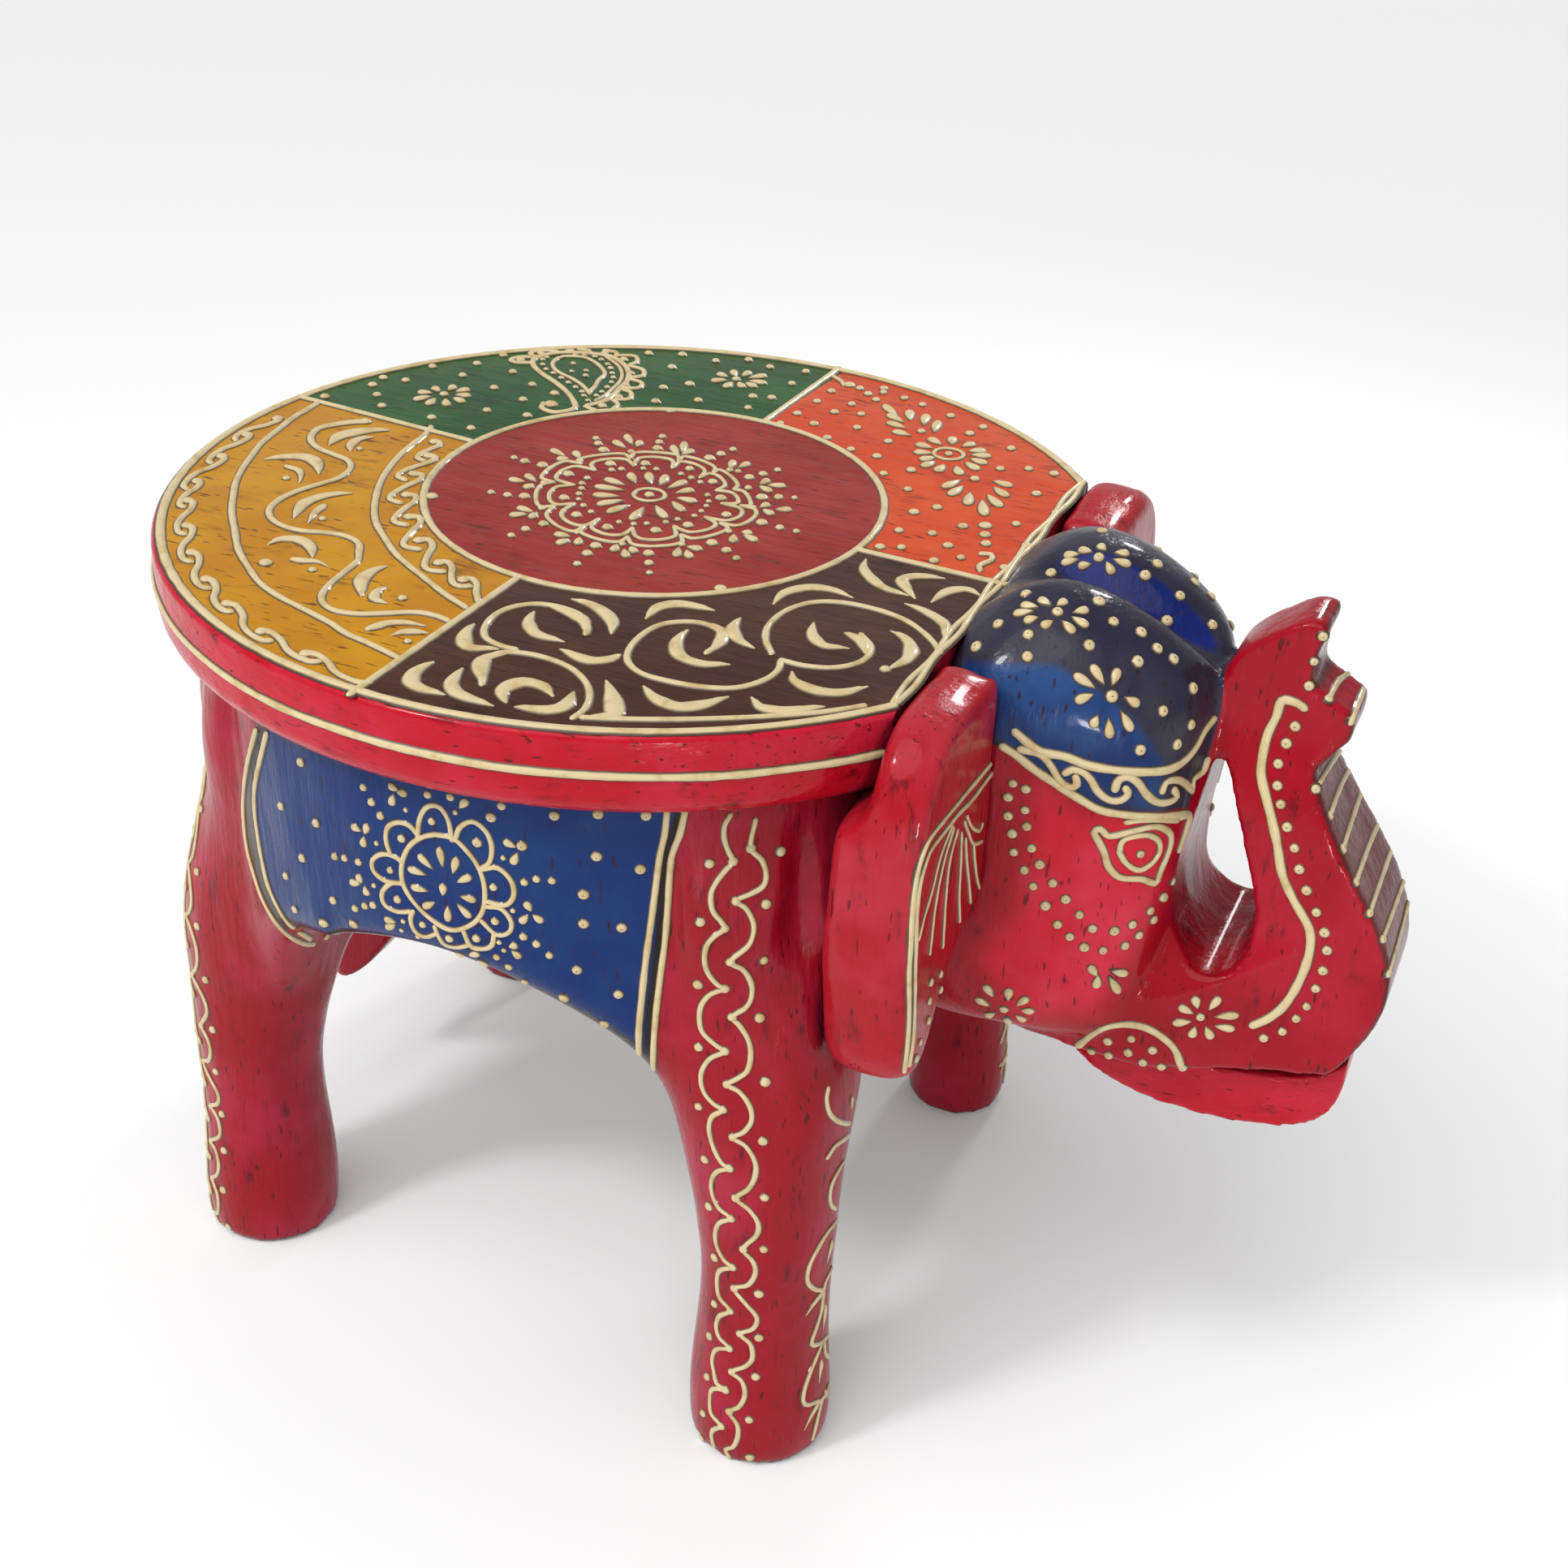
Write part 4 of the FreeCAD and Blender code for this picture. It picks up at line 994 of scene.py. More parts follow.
# Cloth ornament
# Two double borders, a scalloped medallion with a lobe round each petal, and sprays of dots and drops.
carved_sink = 0.3 * mm
cloth = Relief(carved_sink)
cloth_lines = (
    (1.5, ((316, 900), (307, 935), (302, 969), (301, 1004), (305, 1042), (313, 1073), (323, 1104),
           (336, 1129), (353, 1150), (373, 1162), (386, 1163))),
    (1.5, ((329, 904), (321, 938), (315, 969), (315, 1000), (319, 1031), (325, 1065), (332, 1092),
           (344, 1119), (359, 1140), (382, 1157))),
    (1.5, ((822, 1000), (819, 1027), (813, 1054), (808, 1092), (802, 1138), (796, 1181), (791, 1227),
           (787, 1277), (790, 1315), (798, 1331), (805, 1338))),
    (1.5, ((844, 1000), (838, 1027), (828, 1054), (825, 1081), (823, 1115), (819, 1162), (813, 1208),
           (807, 1262), (805, 1308), (807, 1323))),
    (1.2, ((536, 1028), (559, 1033), (577, 1050), (590, 1069), (597, 1092), (596, 1119), (584, 1137),
           (559, 1146), (540, 1138), (521, 1123), (505, 1104), (496, 1085), (496, 1062), (505, 1042),
           (521, 1031), (536, 1028))),
    (1.2, ((515, 1033), (517, 1010), (525, 995), (535, 992), (544, 996), (553, 1012), (557, 1035))),
    (1.2, ((561, 1035), (567, 1019), (582, 1012), (598, 1023), (606, 1042), (603, 1063), (594, 1069))),
    (1.2, ((594, 1071), (613, 1069), (630, 1085), (633, 1104), (623, 1115), (598, 1110))),
    (1.2, ((600, 1117), (617, 1119), (630, 1135), (628, 1148), (613, 1152), (594, 1135))),
    (1.2, ((609, 1150), (606, 1165), (594, 1169), (580, 1165), (571, 1146))),
    (1.2, ((575, 1165), (563, 1167), (548, 1163), (540, 1152), (536, 1142))),
    (1.2, ((538, 1150), (525, 1154), (511, 1146), (506, 1131), (509, 1123))),
    (1.2, ((505, 1123), (490, 1123), (475, 1115), (471, 1100), (482, 1088), (494, 1088))),
    (1.2, ((492, 1088), (475, 1085), (461, 1073), (459, 1060), (471, 1052), (488, 1056), (496, 1062))),
    (1.2, ((482, 1054), (476, 1035), (478, 1019), (490, 1013), (505, 1017), (517, 1031))))
cloth_petals = (
    (546, 1093, 546, 1104), (542, 1048, 546, 1069), (519, 1056, 534, 1071), (507, 1071, 526, 1078),
    (511, 1093, 528, 1098), (525, 1116, 536, 1112), (552, 1131, 552, 1115), (577, 1127, 563, 1113),
    (582, 1108, 567, 1104), (577, 1081, 563, 1087), (562, 1060, 558, 1077), (483, 969, 492, 974),
    (497, 977, 489, 975), (483, 988, 485, 978), (437, 1019, 446, 1024), (452, 1019, 450, 1028),
    (448, 1039, 449, 1030), (435, 1087, 445, 1089), (443, 1081, 447, 1088), (452, 1099, 449, 1091),
    (478, 1133, 489, 1136), (479, 1142, 488, 1138), (625, 1038, 637, 1044), (633, 1061, 638, 1050),
    (650, 1115, 655, 1123), (665, 1133, 656, 1127), (644, 1134, 651, 1127), (638, 1177, 630, 1171),
    (633, 1165, 627, 1166), (587, 1175, 578, 1176), (598, 1187, 588, 1181), (584, 1183, 577, 1179),
    (566, 1175, 574, 1177), (573, 988, 566, 996))
cloth_dots = (
    (532, 1012), (608, 1093), (610, 1135), (587, 1156), (554, 1156), (521, 1139), (490, 1108), (481, 1072),
    (495, 1033), (448, 970), (458, 988), (469, 1005), (413, 1055), (425, 1057), (442, 1062), (438, 1119),
    (450, 1116), (460, 1115), (618, 993), (646, 1087), (661, 1083), (680, 1085), (645, 1154), (661, 1163),
    (677, 1177), (612, 1179), (627, 1191), (647, 1209), (527, 979), (555, 982))
cloth_specks = ((561, 1001), (500, 998), (464, 1039), (461, 1091), (497, 1135), (495, 1146), (515, 1154),
                (620, 1057), (632, 1122), (615, 1161), (621, 1171))
cloth_big_dots = (
    (588, 1038), (605, 1007), (643, 1042), (371, 939), (347, 993), (390, 1014), (373, 1057), (353, 1079),
    (411, 1109), (364, 1120), (399, 1137), (402, 1153), (436, 1138), (683, 1005), (737, 1003), (796, 1005),
    (735, 1055), (789, 1071), (719, 1102), (719, 1138), (766, 1143), (711, 1195), (762, 1225), (695, 1229),
    (745, 1261), (755, 1294))
for far_skin in (None, body_skin):
    cast_lines(cloth, body_skin, cloth_lines, far_skin)
    cast_drops(cloth, body_skin, cloth_petals, 1.9, far_skin)
    cast_dots(cloth, body_skin, cloth_dots, 0.95, far_skin)
    cast_dots(cloth, body_skin, cloth_specks, 0.6, far_skin)
    cast_dots(cloth, body_skin, cloth_big_dots, 1.2, far_skin)
cloth.placed("cloth_ornament", "blue_lacquer")

# Leg ornament
# Down each leg two scalloped lines stand back to back with dots beside them, and down the front of the
# fore legs hangs a chain of leaves. They are read on the near fore leg and laid round the others' axes.
legs = Relief(carved_sink)
leg_left_wave = (
    (900, 1004), (893, 1016), (892, 1031), (897, 1048), (903, 1061), (893, 1073), (883, 1086), (876, 1101),
    (878, 1122), (889, 1136), (893, 1144), (881, 1153), (871, 1164), (868, 1181), (872, 1198), (884, 1213),
    (893, 1218), (875, 1225), (864, 1239), (862, 1257), (866, 1272), (884, 1289), (893, 1295), (875, 1304),
    (865, 1319), (864, 1334), (869, 1348), (881, 1361), (891, 1367), (878, 1375), (874, 1386), (875, 1398),
    (880, 1415), (890, 1433), (899, 1439), (884, 1443), (877, 1454), (878, 1471), (887, 1489), (901, 1501),
    (887, 1506), (882, 1518), (884, 1536), (894, 1554), (903, 1561), (887, 1565), (884, 1580), (887, 1598),
    (900, 1615), (887, 1621), (883, 1633), (887, 1648), (899, 1661), (883, 1662), (878, 1674), (880, 1689),
    (884, 1705), (894, 1712), (878, 1711), (875, 1724), (877, 1742), (889, 1757), (878, 1762), (878, 1774),
    (884, 1790))
leg_right_wave = (
    (931, 1010), (925, 1045), (939, 1060), (944, 1078), (940, 1092), (925, 1101), (907, 1110), (919, 1119),
    (928, 1136), (928, 1151), (921, 1166), (900, 1185), (916, 1195), (926, 1213), (925, 1231), (918, 1242),
    (902, 1253), (911, 1263), (922, 1281), (925, 1298), (921, 1319), (908, 1329), (896, 1336), (911, 1345),
    (924, 1363), (926, 1381), (916, 1395), (903, 1401), (919, 1412), (931, 1433), (930, 1451), (922, 1465),
    (907, 1476), (922, 1489), (934, 1506), (933, 1521), (916, 1539), (928, 1554), (931, 1568), (922, 1583),
    (905, 1587), (919, 1606), (933, 1624), (928, 1637), (912, 1643), (925, 1656), (927, 1674), (919, 1683),
    (902, 1690), (914, 1701), (918, 1718), (911, 1733), (899, 1739), (909, 1756), (909, 1771), (903, 1783),
    (894, 1785), (900, 1796))
leg_dots = (
    (874, 1064), (863, 1136), (860, 1213), (861, 1290), (861, 1363), (869, 1428), (874, 1486), (881, 1549),
    (881, 1606), (875, 1646), (872, 1696), (867, 1741), (866, 1771), (962, 1049), (944, 1114), (941, 1183),
    (936, 1254), (943, 1333), (940, 1406), (942, 1475), (941, 1539), (935, 1594), (935, 1648), (931, 1696),
    (923, 1749), (924, 1795))
leg_cusps = (
    (903, 1061), (893, 1144), (893, 1218), (893, 1295), (891, 1367), (899, 1439), (901, 1501), (903, 1561),
    (900, 1615), (899, 1661), (894, 1712), (889, 1757), (925, 1045), (907, 1110), (900, 1185), (902, 1253),
    (896, 1336), (903, 1401), (907, 1476), (916, 1539), (905, 1587), (912, 1643), (902, 1690), (899, 1739))
chain_lines = (
    ((1020, 1341), (1018, 1354), (1022, 1372), (1033, 1382), (1046, 1384), (1058, 1375), (1066, 1356)),
    ((1019, 1426), (1028, 1412), (1043, 1401), (1052, 1392), (1059, 1398), (1060, 1409)),
    ((1050, 1398), (1046, 1418), (1034, 1439), (1024, 1459), (1022, 1480), (1028, 1489), (1040, 1483)),
    ((1043, 1489), (1019, 1518), (1005, 1542), (996, 1562), (995, 1580), (1005, 1589), (1014, 1589)),
    ((1034, 1498), (1033, 1515), (1030, 1539), (1024, 1562), (1016, 1580), (1014, 1589)),
    ((1014, 1592), (1011, 1615), (1005, 1636), (999, 1656), (1008, 1656), (1019, 1646), (1024, 1639)),
    ((1012, 1655), (1002, 1680), (993, 1704), (989, 1724), (993, 1731), (1008, 1726)),
    ((1015, 1654), (1016, 1668), (1022, 1674), (1022, 1698), (1016, 1718), (1009, 1727)),
    ((1012, 1724), (1005, 1754), (1000, 1774)))
chain_strokes = (((1046, 1433), (1043, 1465)), ((1024, 1529), (1019, 1555)),
                 ((1012, 1592), (1002, 1606), (993, 1621)),
                 ((1016, 1608), (1014, 1639)), ((1011, 1677), (1009, 1704)),
                 ((1008, 1727), (999, 1744), (991, 1762)), ((1016, 1714), (1022, 1728)),
                 ((1049, 1352), (1049, 1366)))


def leg_axis(name):
    # The middle of a leg's foot.
    feet = [vertex.co for vertex in nodes[name].data.vertices if vertex.co.z < 1 * mm]
    return Vector((sum(foot.x for foot in feet) / len(feet), sum(foot.y for foot in feet) / len(feet), 0))


near_axis = leg_axis("leg_front_right")
rear_turn = math.radians(-27)
cast_start = 60 * mm


def round_leg(spots, axis, side, turn_by):
    # Carries spots from the near fore leg to another, at the same height and angle about its axis. Side is
    # -1 for the far legs, and turn_by turns the pattern on about the leg.
    carried = []
    for place, _ in filter(None, spots):
        angle = math.atan2(place.y - near_axis.y, place.x - near_axis.x) + turn_by
        outward = Vector((math.cos(angle), math.sin(angle) * side, 0))
        start = axis + outward * cast_start + Vector((0, 0, place.z))
        hit, normal, _, _ = body_skin.ray_cast(start, -outward)
        if hit is not None:
            carried.append((hit, normal))
    return carried


for name, side, turn_by in (("leg_front_right", 1, 0.0), ("leg_front_left", -1, 0.0),
                            ("leg_rear_right", 1, rear_turn), ("leg_rear_left", -1, rear_turn)):
    axis = leg_axis(name)

    def carried(points, step=5):
        spots = [cast(body_skin, spot.x, spot.y) for spot in through(points, step)]
        return eased(round_leg(spots, axis, side, turn_by))

    for path in (leg_left_wave, leg_right_wave) + (chain_lines if "front" in name else ()):
        for run in carried(path):
            legs.line(run, 1.25 * mm)
    for dots, radius in ((leg_dots, 1.15), (leg_cusps, 1.1)):
        for spot in round_leg([cast(body_skin, *dot) for dot in dots], axis, side, turn_by):
            legs.dot(spot, radius * mm)
    for path in (chain_strokes if "front" in name else ()):
        for run in carried(path, 3):
            legs.line(run, 1.8 * mm, thick_start)
legs.placed("leg_ornament", "red_lacquer")

# Head
# Skull with a crown of two domes and the raised trunk, carved from one block and dowelled to the body.
# The crown wears a painted navy cap, closed by a band of waves. The trunk's sawn front, turned from the
# light,
# is painted a duller, darker red: painted shade, and the face a lighter red: painted light.
cap_outline = (
    (1100, 500), (1100, 870), (1238, 925), (1272, 953), (1318, 980), (1354, 996), (1400, 1003),
    (1437, 1001), (1465, 996), (1478, 960), (1492, 925), (1504, 885), (1510, 845), (1512, 800),
    (1540, 760), (1560, 500))
cap_blue_outline = (
    (1180, 808), (1300, 812), (1345, 835), (1400, 880), (1440, 935), (1440, 1003), (1400, 1003),
    (1354, 996), (1318, 980), (1272, 953), (1238, 925), (1180, 870))
# Outline of the face painted a lighter red: painted light where the face turns to the lamp.
lit_face_outline = (
    (1275, 960), (1340, 1000), (1450, 1012), (1440, 1090), (1400, 1180), (1350, 1250), (1250, 1260),
    (1200, 1180), (1250, 1120), (1262, 1050))
trunk_front = 112 * mm
front_lean = 0.45
groove_middle = 1 * mm
head = carved(("head_block",), "carved_head", 1.15 * mm, 6)
painted_area(head, "cap", cap_outline)
painted_area(head, "cap_blue", cap_blue_outline)
painted_area(head, "lit_face", lit_face_outline)
# The trunk's front, turned away from the light, is marked for a darker, duller red: painted shade.
front_shade_values = []
groove_values = []
for depth, vertex in zip(head.data.attributes["cap"].data, head.data.vertices):
    front_shade_values.append(vertex.normal.x - front_lean - (0 if vertex.co.x > trunk_front else 1))
    beside = depth.value > 0 and abs(vertex.co.y) > groove_middle
    groove_values.append(-vertex.normal.y * math.copysign(1, vertex.co.y) if beside else 0)
marked(head.data, "front_face_shade", front_shade_values)
marked(head.data, "groove", groove_values)
# The body's crimson lacquer, thicker and glossier. Round the eye it is painted a lighter scarlet, as
# painted light where the face turns to the lamp, and the trunk's sawn front a darker dull brown red, as
# painted shade where it turns from the light. It is smoky navy over the crown, and deep blue at the cap's
# side and in the groove between the domes.
head_areas = (
    ("lit_face", -4 * mm, 6 * mm, "CE182E", "D8344E"), ("front_face_shade", 0.0, 0.2, "641C20", "6E2A2C"),
    ("cap", 0.0, 0.6 * mm, "28263A", "3C3A48"), ("cap_blue", 0.0, 3 * mm, "122C62", "2A4A7E"),
    ("groove", 0.42, 0.6, "0A1C62", "12267A"))
head_red = painted_wood("head_red_lacquer", "9E081C", "AE142C", "4C0A14", head_areas,
                        (1, 1, 0.2), 0.24, 0.4)
head.data.materials.append(head_red)
finished(head, "red_lacquer", "head_block")
head_skin = BVHTree.FromObject(head, bpy.context.evaluated_depsgraph_get())

# Cap and face ornament
# A band of running waves under the cap, flowers on the domes, an eye, a garland of dots with a pendant,
# cheek flowers, a half round over the mouth, and a line with dots down the trunk.
face = Relief(carved_sink)
face_lines = (
    (2.2, ((1251, 902), (1281, 925), (1313, 932), (1342, 943), (1378, 949), (1412, 951), (1440, 948),
           (1458, 938), (1472, 922), (1484, 900), (1495, 886))),
    (2.2, ((1236, 920), (1252, 930), (1272, 946), (1300, 965), (1330, 984), (1356, 998), (1390, 1004),
           (1425, 1006), (1462, 1003))),
    (1.9, ((1258, 923), (1283, 930), (1296, 945), (1306, 961), (1319, 970), (1327, 966), (1325, 955))),
    (1.9, ((1313, 952), (1322, 948), (1334, 951), (1344, 960), (1352, 974), (1366, 985), (1380, 986),
           (1390, 978), (1387, 971))),
    (1.9, ((1374, 972), (1378, 961), (1390, 957), (1402, 964), (1412, 978), (1425, 988), (1440, 988),
           (1450, 980), (1446, 973))),
    (1.9, ((1432, 974), (1437, 963), (1452, 961), (1463, 968), (1468, 975), (1470, 960), (1482, 950),
           (1488, 935))),
    (1.7, ((1350, 1030), (1348, 1024), (1356, 1021), (1366, 1030), (1398, 1023), (1425, 1018), (1441, 1026),
           (1442, 1038), (1437, 1055), (1429, 1074), (1423, 1088), (1408, 1083), (1380, 1081), (1366, 1068),
           (1360, 1049), (1350, 1030))),
    (1.5, ((1379, 1050), (1383, 1036), (1398, 1030), (1416, 1029), (1428, 1037), (1428, 1050), (1418, 1064),
           (1403, 1072), (1388, 1064), (1379, 1050))),
    (1.5, ((1388, 1013), (1410, 1010), (1450, 1011))),
    (2.0, ((1455, 1006), (1465, 1004), (1462, 1018), (1452, 1048))),
    (1.9, ((1322, 1294), (1335, 1283), (1354, 1269), (1373, 1263), (1398, 1263), (1416, 1268), (1435, 1280),
           (1448, 1294), (1455, 1313))),
    (2.2, ((1607, 872), (1598, 866), (1580, 863), (1573, 882), (1562, 905), (1555, 936), (1554, 955),
           (1560, 982), (1566, 1005), (1573, 1036), (1580, 1077), (1594, 1109), (1612, 1141), (1615, 1159),
           (1610, 1186), (1596, 1218), (1580, 1241), (1562, 1255), (1544, 1263))))
face_dots = (
    (1248, 965), (1242, 982), (1242, 1005), (1247, 1027), (1249, 1050), (1262, 1072), (1273, 1092),
    (1288, 1116), (1303, 1139), (1318, 1154), (1336, 1167), (1359, 1171), (1264, 972), (1263, 998),
    (1265, 1018), (1271, 1045), (1281, 1065), (1297, 1088), (1313, 1108), (1330, 1127), (1346, 1144),
    (1373, 1147), (1386, 1165), (1403, 1152), (1395, 1139), (1421, 1133), (1417, 1122), (1432, 1105),
    (1237, 1243), (1479, 1253), (1365, 1283), (1394, 1280), (1345, 1295), (1366, 1300), (1390, 1297),
    (1420, 1294), (1408, 1309), (1431, 1314), (1434, 1106), (1444, 1086), (1596, 895), (1585, 916),
    (1575, 941), (1574, 968), (1578, 991), (1586, 1019), (1595, 1045), (1601, 1071), (1610, 1097),
    (1622, 1124), (1632, 1149), (1635, 1171), (1630, 1196), (1621, 1218), (1610, 1240), (1597, 1255),
    (1580, 1271), (1557, 1279), (1405, 1052), (1457, 1315))
cap_side_dots = ((1370, 858), (1342, 795), (1402, 815), (1470, 848), (1433, 876), (1467, 893), (1450, 917),
                 (1405, 924))
cap_top_dots = (
    (1354, 687), (1303, 754), (1358, 655), (1426, 695), (1411, 709), (1295, 706), (1264, 732),
    (1230, 769), (1203, 797), (1267, 782), (1266, 809), (1354, 741), (1372, 766), (1406, 779), (1426, 799),
    (1446, 812), (1454, 734), (1438, 765), (1472, 718), (1463, 703), (1492, 735), (1494, 770))
lip_dots = ((1630, 784), (1619, 815), (1613, 845))
face_drops = (
    (1345, 1193, 1352, 1203), (1351, 1213, 1353, 1200), (1385, 1199, 1368, 1195), (1377, 1220, 1366, 1202),
    (1216, 1217, 1224, 1228), (1243, 1221, 1242, 1233), (1263, 1231, 1252, 1239), (1269, 1245, 1257, 1244),
    (1260, 1255, 1251, 1250), (1242, 1258, 1241, 1252), (1218, 1250, 1226, 1247), (1207, 1232, 1220, 1239),
    (1473, 1232, 1476, 1243), (1500, 1232, 1489, 1245), (1521, 1251, 1496, 1253), (1516, 1267, 1496, 1264),
    (1491, 1276, 1485, 1264), (1469, 1274, 1473, 1264), (1450, 1260, 1469, 1258), (1457, 1242, 1471, 1249),
    (1348, 824, 1361, 844), (1376, 829, 1370, 845), (1399, 866, 1386, 859),
    (1392, 896, 1381, 876), (1367, 904, 1366, 885), (1348, 891, 1353, 881), (1330, 862, 1348, 855),
    (1328, 834, 1350, 848))
cap_top_drops = (
    (1334, 678, 1346, 681), (1357, 674, 1363, 679), (1386, 682, 1373, 681), (1388, 695, 1371, 689),
    (1369, 703, 1363, 692), (1334, 697, 1345, 695), (1313, 693, 1330, 689), (1316, 684, 1331, 683),
    (1263, 746, 1280, 749), (1254, 756, 1275, 754), (1267, 764, 1280, 761), (1288, 770, 1298, 765),
    (1320, 776, 1308, 765), (1336, 769, 1320, 760), (1336, 752, 1322, 755), (1310, 742, 1302, 747),
    (1284, 740, 1295, 747))
stripe_lines = (
    (1.3, ((1621, 972), (1637, 945), (1653, 922))), (1.3, ((1638, 1005), (1650, 972), (1662, 948))),
    (1.3, ((1654, 1046), (1667, 1005), (1678, 973))), (1.3, ((1670, 1087), (1685, 1045), (1698, 1014))),
    (1.3, ((1687, 1125), (1704, 1075), (1716, 1041))), (1.3, ((1703, 1157), (1722, 1105), (1732, 1077))),
    (1.3, ((1710, 1199), (1726, 1145), (1735, 1109))), (1.3, ((1637, 861), (1650, 838), (1666, 827))),
    (1.3, ((1664, 891), (1675, 862), (1684, 836))))
stripe_dots = [path[0] for _, path in stripe_lines[:8]]
for far_skin in (None, head_skin):
    cast_lines(face, head_skin, face_lines, far_skin)
    cast_dots(face, head_skin, face_dots, 1.15, far_skin)
    cast_dots(face, head_skin, cap_side_dots, 1.35, far_skin)
    cast_drops(face, head_skin, face_drops, 2.2, far_skin)
cast_dots(face, head_skin, cap_top_dots, 1.35)
cast_drops(face, head_skin, cap_top_drops, 2.2)
cast_dots(face, head_skin, lip_dots, 1.1)
cast_lines(face, head_skin, stripe_lines)
cast_dots(face, head_skin, stripe_dots, 1.1)
face.placed("head_ornament", "red_lacquer")

# Ears
# Hung from the crown's corner to the fore leg, carved in low folds and glued on, with a fan of fine lines.
ear_step_reach = 26 * mm
ear_step_front = 12 * mm


def ear_shoulder(place):
    # The step where the ear passes the seat's under edge is rasped away.
    if place.x >= seat_high[0] + ear_step_front:
        return 0
    return max(0, 1 - abs(place.z - seat_low[2]) / ear_step_reach) ** 0.4


# Crimson lacquer, a little paler and drier than the head's, with its streaks drawn out down the ear.
ear_red = painted_wood("ear_red_lacquer", "A8101E", "B42838", "540A14", (), (1, 1, 0.15), 0.28, 0.4)
ear_skins = []
for name in ("ear_right", "ear_left"):
    piece = carved((name,), "carved_" + name, 1.1 * mm, 10, ear_shoulder)
    piece.data.materials.append(ear_red)
    finished(piece, "red_lacquer", name)
    ear_skins.append(BVHTree.FromObject(piece, bpy.context.evaluated_depsgraph_get()))
ear_skin, far_ear_skin = ear_skins
ears = Relief(carved_sink)
ear_lines = (
    (1.2, ((1229, 930), (1206, 958), (1186, 982), (1172, 999), (1155, 1020), (1143, 1037), (1133, 1065),
           (1127, 1096), (1124, 1130), (1122, 1165), (1120, 1200), (1120, 1250), (1118, 1286),
           (1114, 1320))),
    (1.2, ((1229, 941), (1210, 968), (1194, 989), (1180, 1003), (1163, 1025), (1146, 1048), (1138, 1070),
           (1132, 1096), (1129, 1130), (1128, 1165), (1127, 1200), (1126, 1250), (1124, 1286),
           (1120, 1312))),
    (1.0, ((1172, 1018), (1158, 1055), (1148, 1096), (1138, 1130), (1131, 1158))),
    (1.0, ((1174, 1020), (1162, 1062), (1152, 1113), (1145, 1175))),
    (1.0, ((1179, 1023), (1169, 1062), (1164, 1113), (1161, 1168))),
    (1.0, ((1184, 1027), (1183, 1062), (1181, 1103), (1182, 1135))),
    (1.0, ((1189, 1034), (1190, 1058), (1193, 1086), (1195, 1111))),
    (1.0, ((1191, 1006), (1197, 1019), (1206, 1024), (1210, 1013))),
    (1.0, ((1188, 1013), (1193, 1027), (1199, 1040), (1210, 1036))),
    (1.0, ((1199, 1040), (1200, 1058), (1203, 1082), (1206, 1094))))
ear_dots = (
    (1202, 1123), (1206, 1128), (1186, 1151), (1191, 1155), (1201, 1164), (1172, 1186), (1187, 1184),
    (1202, 1183), (1158, 1200), (1171, 1208), (1191, 1198), (1146, 1210), (1158, 1219), (1178, 1224),
    (1188, 1222), (1144, 1233), (1155, 1247), (1143, 1257), (1133, 1284), (1144, 1276), (1128, 1304),
    (1138, 1306))
for far_skin in (None, far_ear_skin):
    cast_lines(ears, ear_skin, ear_lines, far_skin)
    cast_dots(ears, ear_skin, ear_dots, 1.0, far_skin)
ears.placed("ear_ornament", "red_lacquer")

# Lower jaw and tail
# Small pieces glued on: the jaw under the trunk's root, bright with varnish, and the hanging tail.
# The jaw's varnish lies thickest, so its red is the brightest and smoothest.
jaw_red = painted_wood("jaw_red_gloss", "BC0A20", "C61E34", "6A0814", (), (0.2, 1, 1), 0.18, 0.2)
for name, voxel, smoothing, paint in (("lower_jaw", 0.9 * mm, 1, jaw_red), ("tail", 1.1 * mm, 3, body_red)):
    piece = carved((name,), "carved_" + name, voxel, smoothing)
    piece.data.materials.append(paint)
    finished(piece, "red_lacquer", name)

# Dowels
# Round beech pins glued in blind holes, hidden once the stool is together.
dowel_names = (
    "seat_dowels", "plank_dowels", "leg_dowels", "head_dowels", "ear_dowels", "jaw_dowels", "tail_dowels")
fibre_width = 1.5 * mm
# Bare turned beech: pale and matt, with fine darker fibres.
beech = bpy.data.materials.new("bare_beech")
beech.use_nodes = True
place = add_node(beech, "ShaderNodeTexCoord").outputs["Object"]
cloud = add_node(beech, "ShaderNodeTexNoise",
                 {"Scale": 1 / fibre_width, "Detail": 3, "Roughness": 0.6}, {"Vector": place})
fibres = add_node(beech, "ShaderNodeMapRange",
                  {"interpolation_type": "SMOOTHSTEP", "From Min": 0.35, "From Max": 0.7},
                  {"Value": cloud.outputs["Fac"]})
colour = add_node(beech, "ShaderNodeMix", {"data_type": "RGBA", 6: "C9A77A", 7: "A88458"},
                  {0: fibres.outputs["Result"]}).outputs[2]
beech.node_tree.links.new(colour, beech.node_tree.nodes["Principled BSDF"].inputs["Base Color"])
for name in dowel_names:
    for holder in nodes[name].material_slots:
        holder.material = beech
    if not nodes[name].material_slots:
        nodes[name].data.materials.append(beech)

# Studio
# A pale floor that runs out of the picture, a broad soft lamp from the upper left, and three small
# soft boxes whose reflections make the broken highlights on the varnish.
bpy.ops.object.select_all(action="DESELECT")
bpy.ops.mesh.primitive_plane_add(size=9, location=(0, 0, 0))
floor = bpy.context.object
floor.name = "floor"
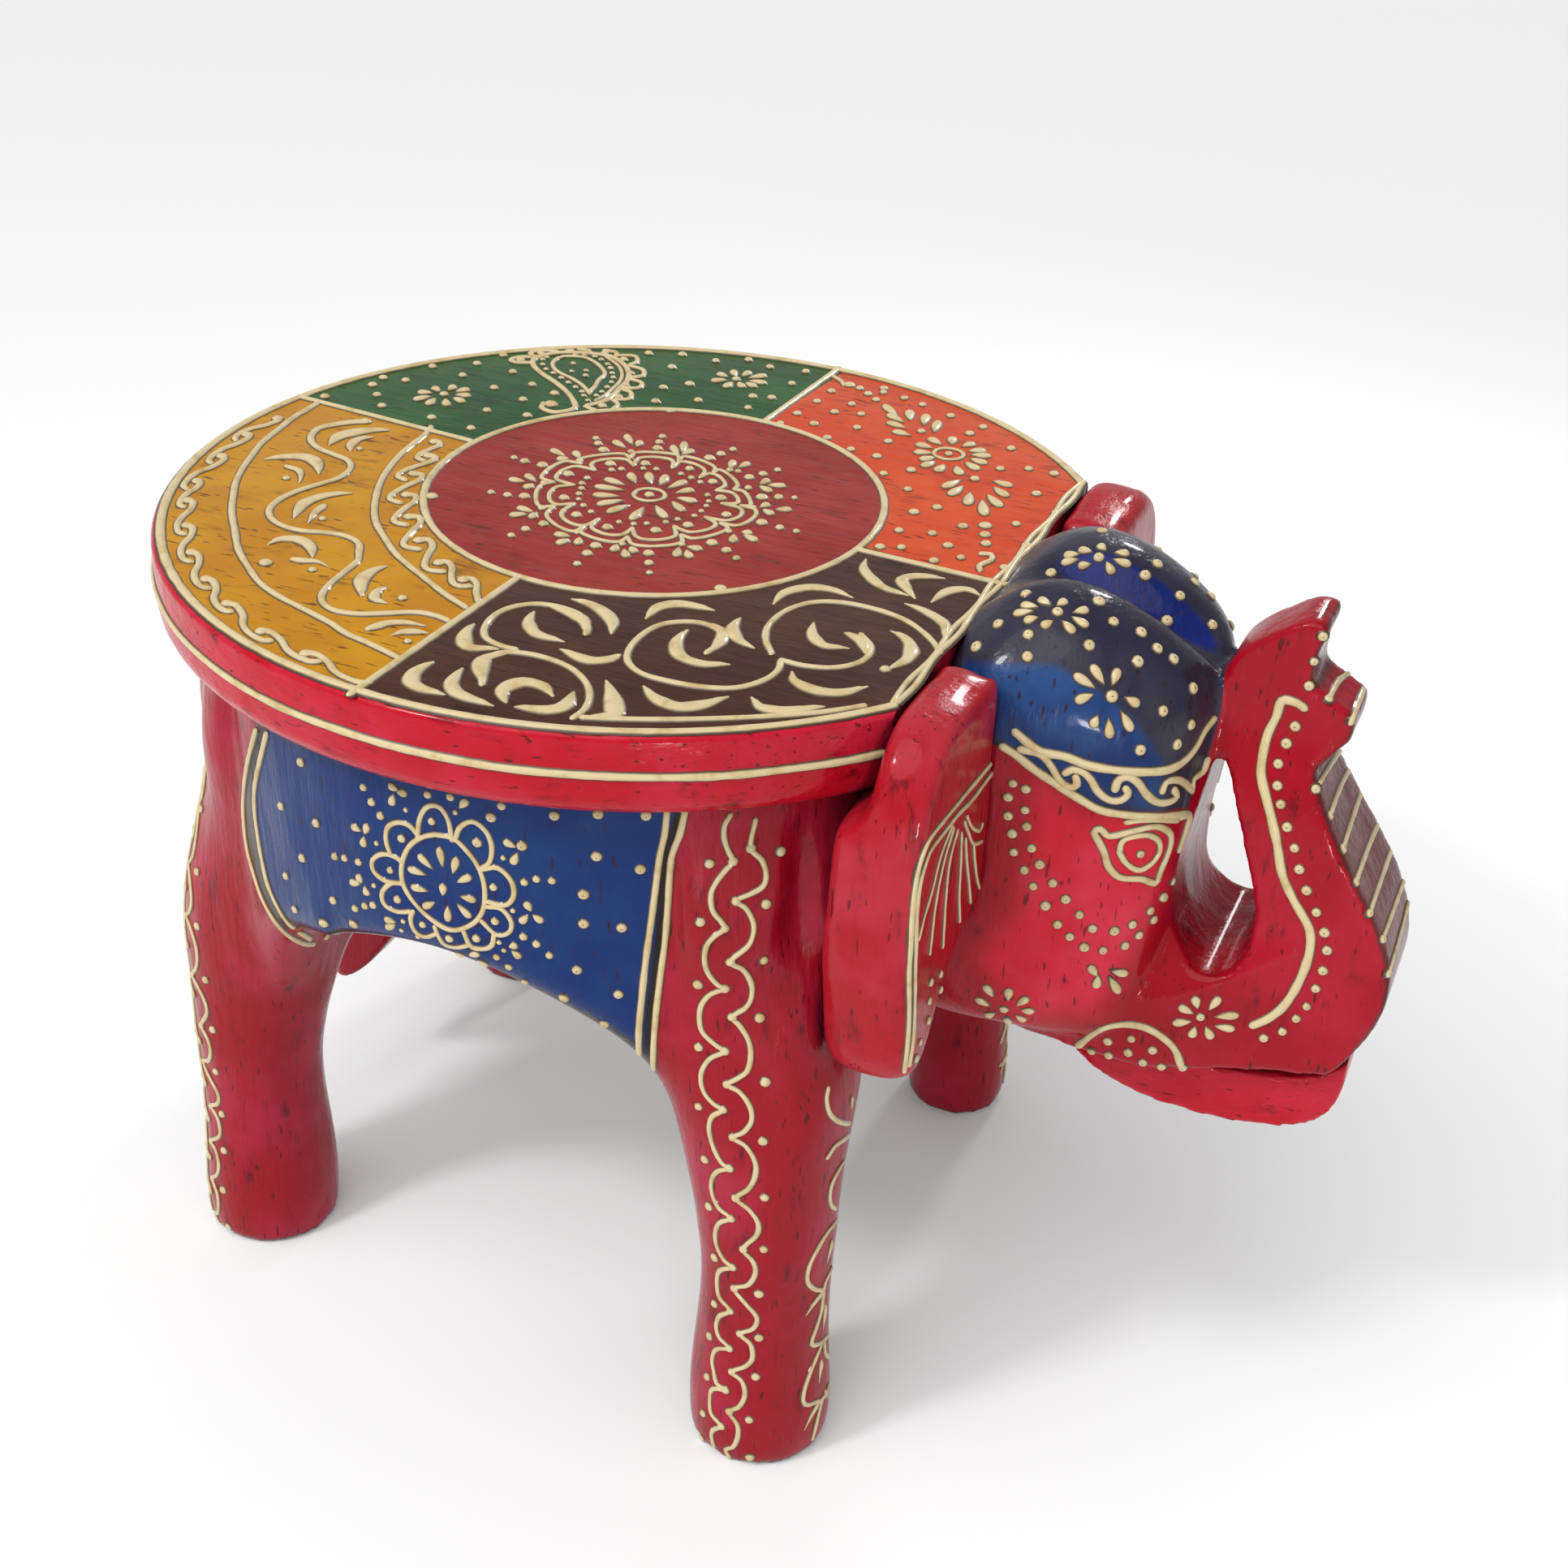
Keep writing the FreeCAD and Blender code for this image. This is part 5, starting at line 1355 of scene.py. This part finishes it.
# Matt white paper. What looks at it sees it a little lighter than the lamps make it, with the shadow kept.
paper = bpy.data.materials.new("white_paper_floor")
paper.use_nodes = True
paper_lift = 0.09
rays = add_node(paper, "ShaderNodeLightPath")
seen = add_node(paper, "ShaderNodeMath", {"operation": "MAXIMUM"},
                {0: rays.outputs["Is Camera Ray"], 1: rays.outputs["Is Glossy Ray"]})
seen = add_node(paper, "ShaderNodeMath", {"operation": "MAXIMUM"},
                {0: seen.outputs[0], 1: rays.outputs["Is Transmission Ray"]})
seen = add_node(paper, "ShaderNodeMath", {"operation": "MULTIPLY", 1: paper_lift}, {0: seen.outputs[0]})
shader = paper.node_tree.nodes["Principled BSDF"]
shader.inputs["Base Color"].default_value = linear("F4F4F4")
shader.inputs["Emission Color"].default_value = linear("FFFFFF")
shader.inputs["Roughness"].default_value = 0.9
shader.inputs["Specular IOR Level"].default_value = 0.1
paper.node_tree.links.new(seen.outputs[0], shader.inputs["Emission Strength"])
floor.data.materials.append(paper)
world = bpy.data.worlds.new("studio")
scene.world = world
world.use_nodes = True
sky = world.node_tree.nodes["Background"]
sky.inputs["Strength"].default_value = 0.5
sky.inputs["Color"].default_value = (1, 1, 1, 1)
# Each lamp's name, kind, power, place in metres, and size in degrees for the sun and in metres for a box.
for name, kind, power, place, size in (("window_left", "SUN", 1.22, (-0.22, -0.62, 1.2), 55),
                                       ("box_left", "AREA", 4.0, (-0.45, -0.7, 0.95), 0.15),
                                       ("box_front", "AREA", 0.7, (0.40, -0.72, 0.13), 0.06),
                                       ("box_behind", "AREA", 0.8, (0.06, 0.63, 0.52), 0.08)):
    lamp_data = bpy.data.lights.new(name, kind)
    lamp_data.energy = power
    if kind == "SUN":
        lamp_data.angle = math.radians(size)
    else:
        lamp_data.size = size
    lamp = bpy.data.objects.new(name, lamp_data)
    scene.collection.objects.link(lamp)
    lamp.location = place
    lamp.rotation_euler = (Vector((0, 0, 0.1)) - Vector(place)).to_track_quat("-Z", "Y").to_euler()
scene.view_settings.view_transform = "Standard"
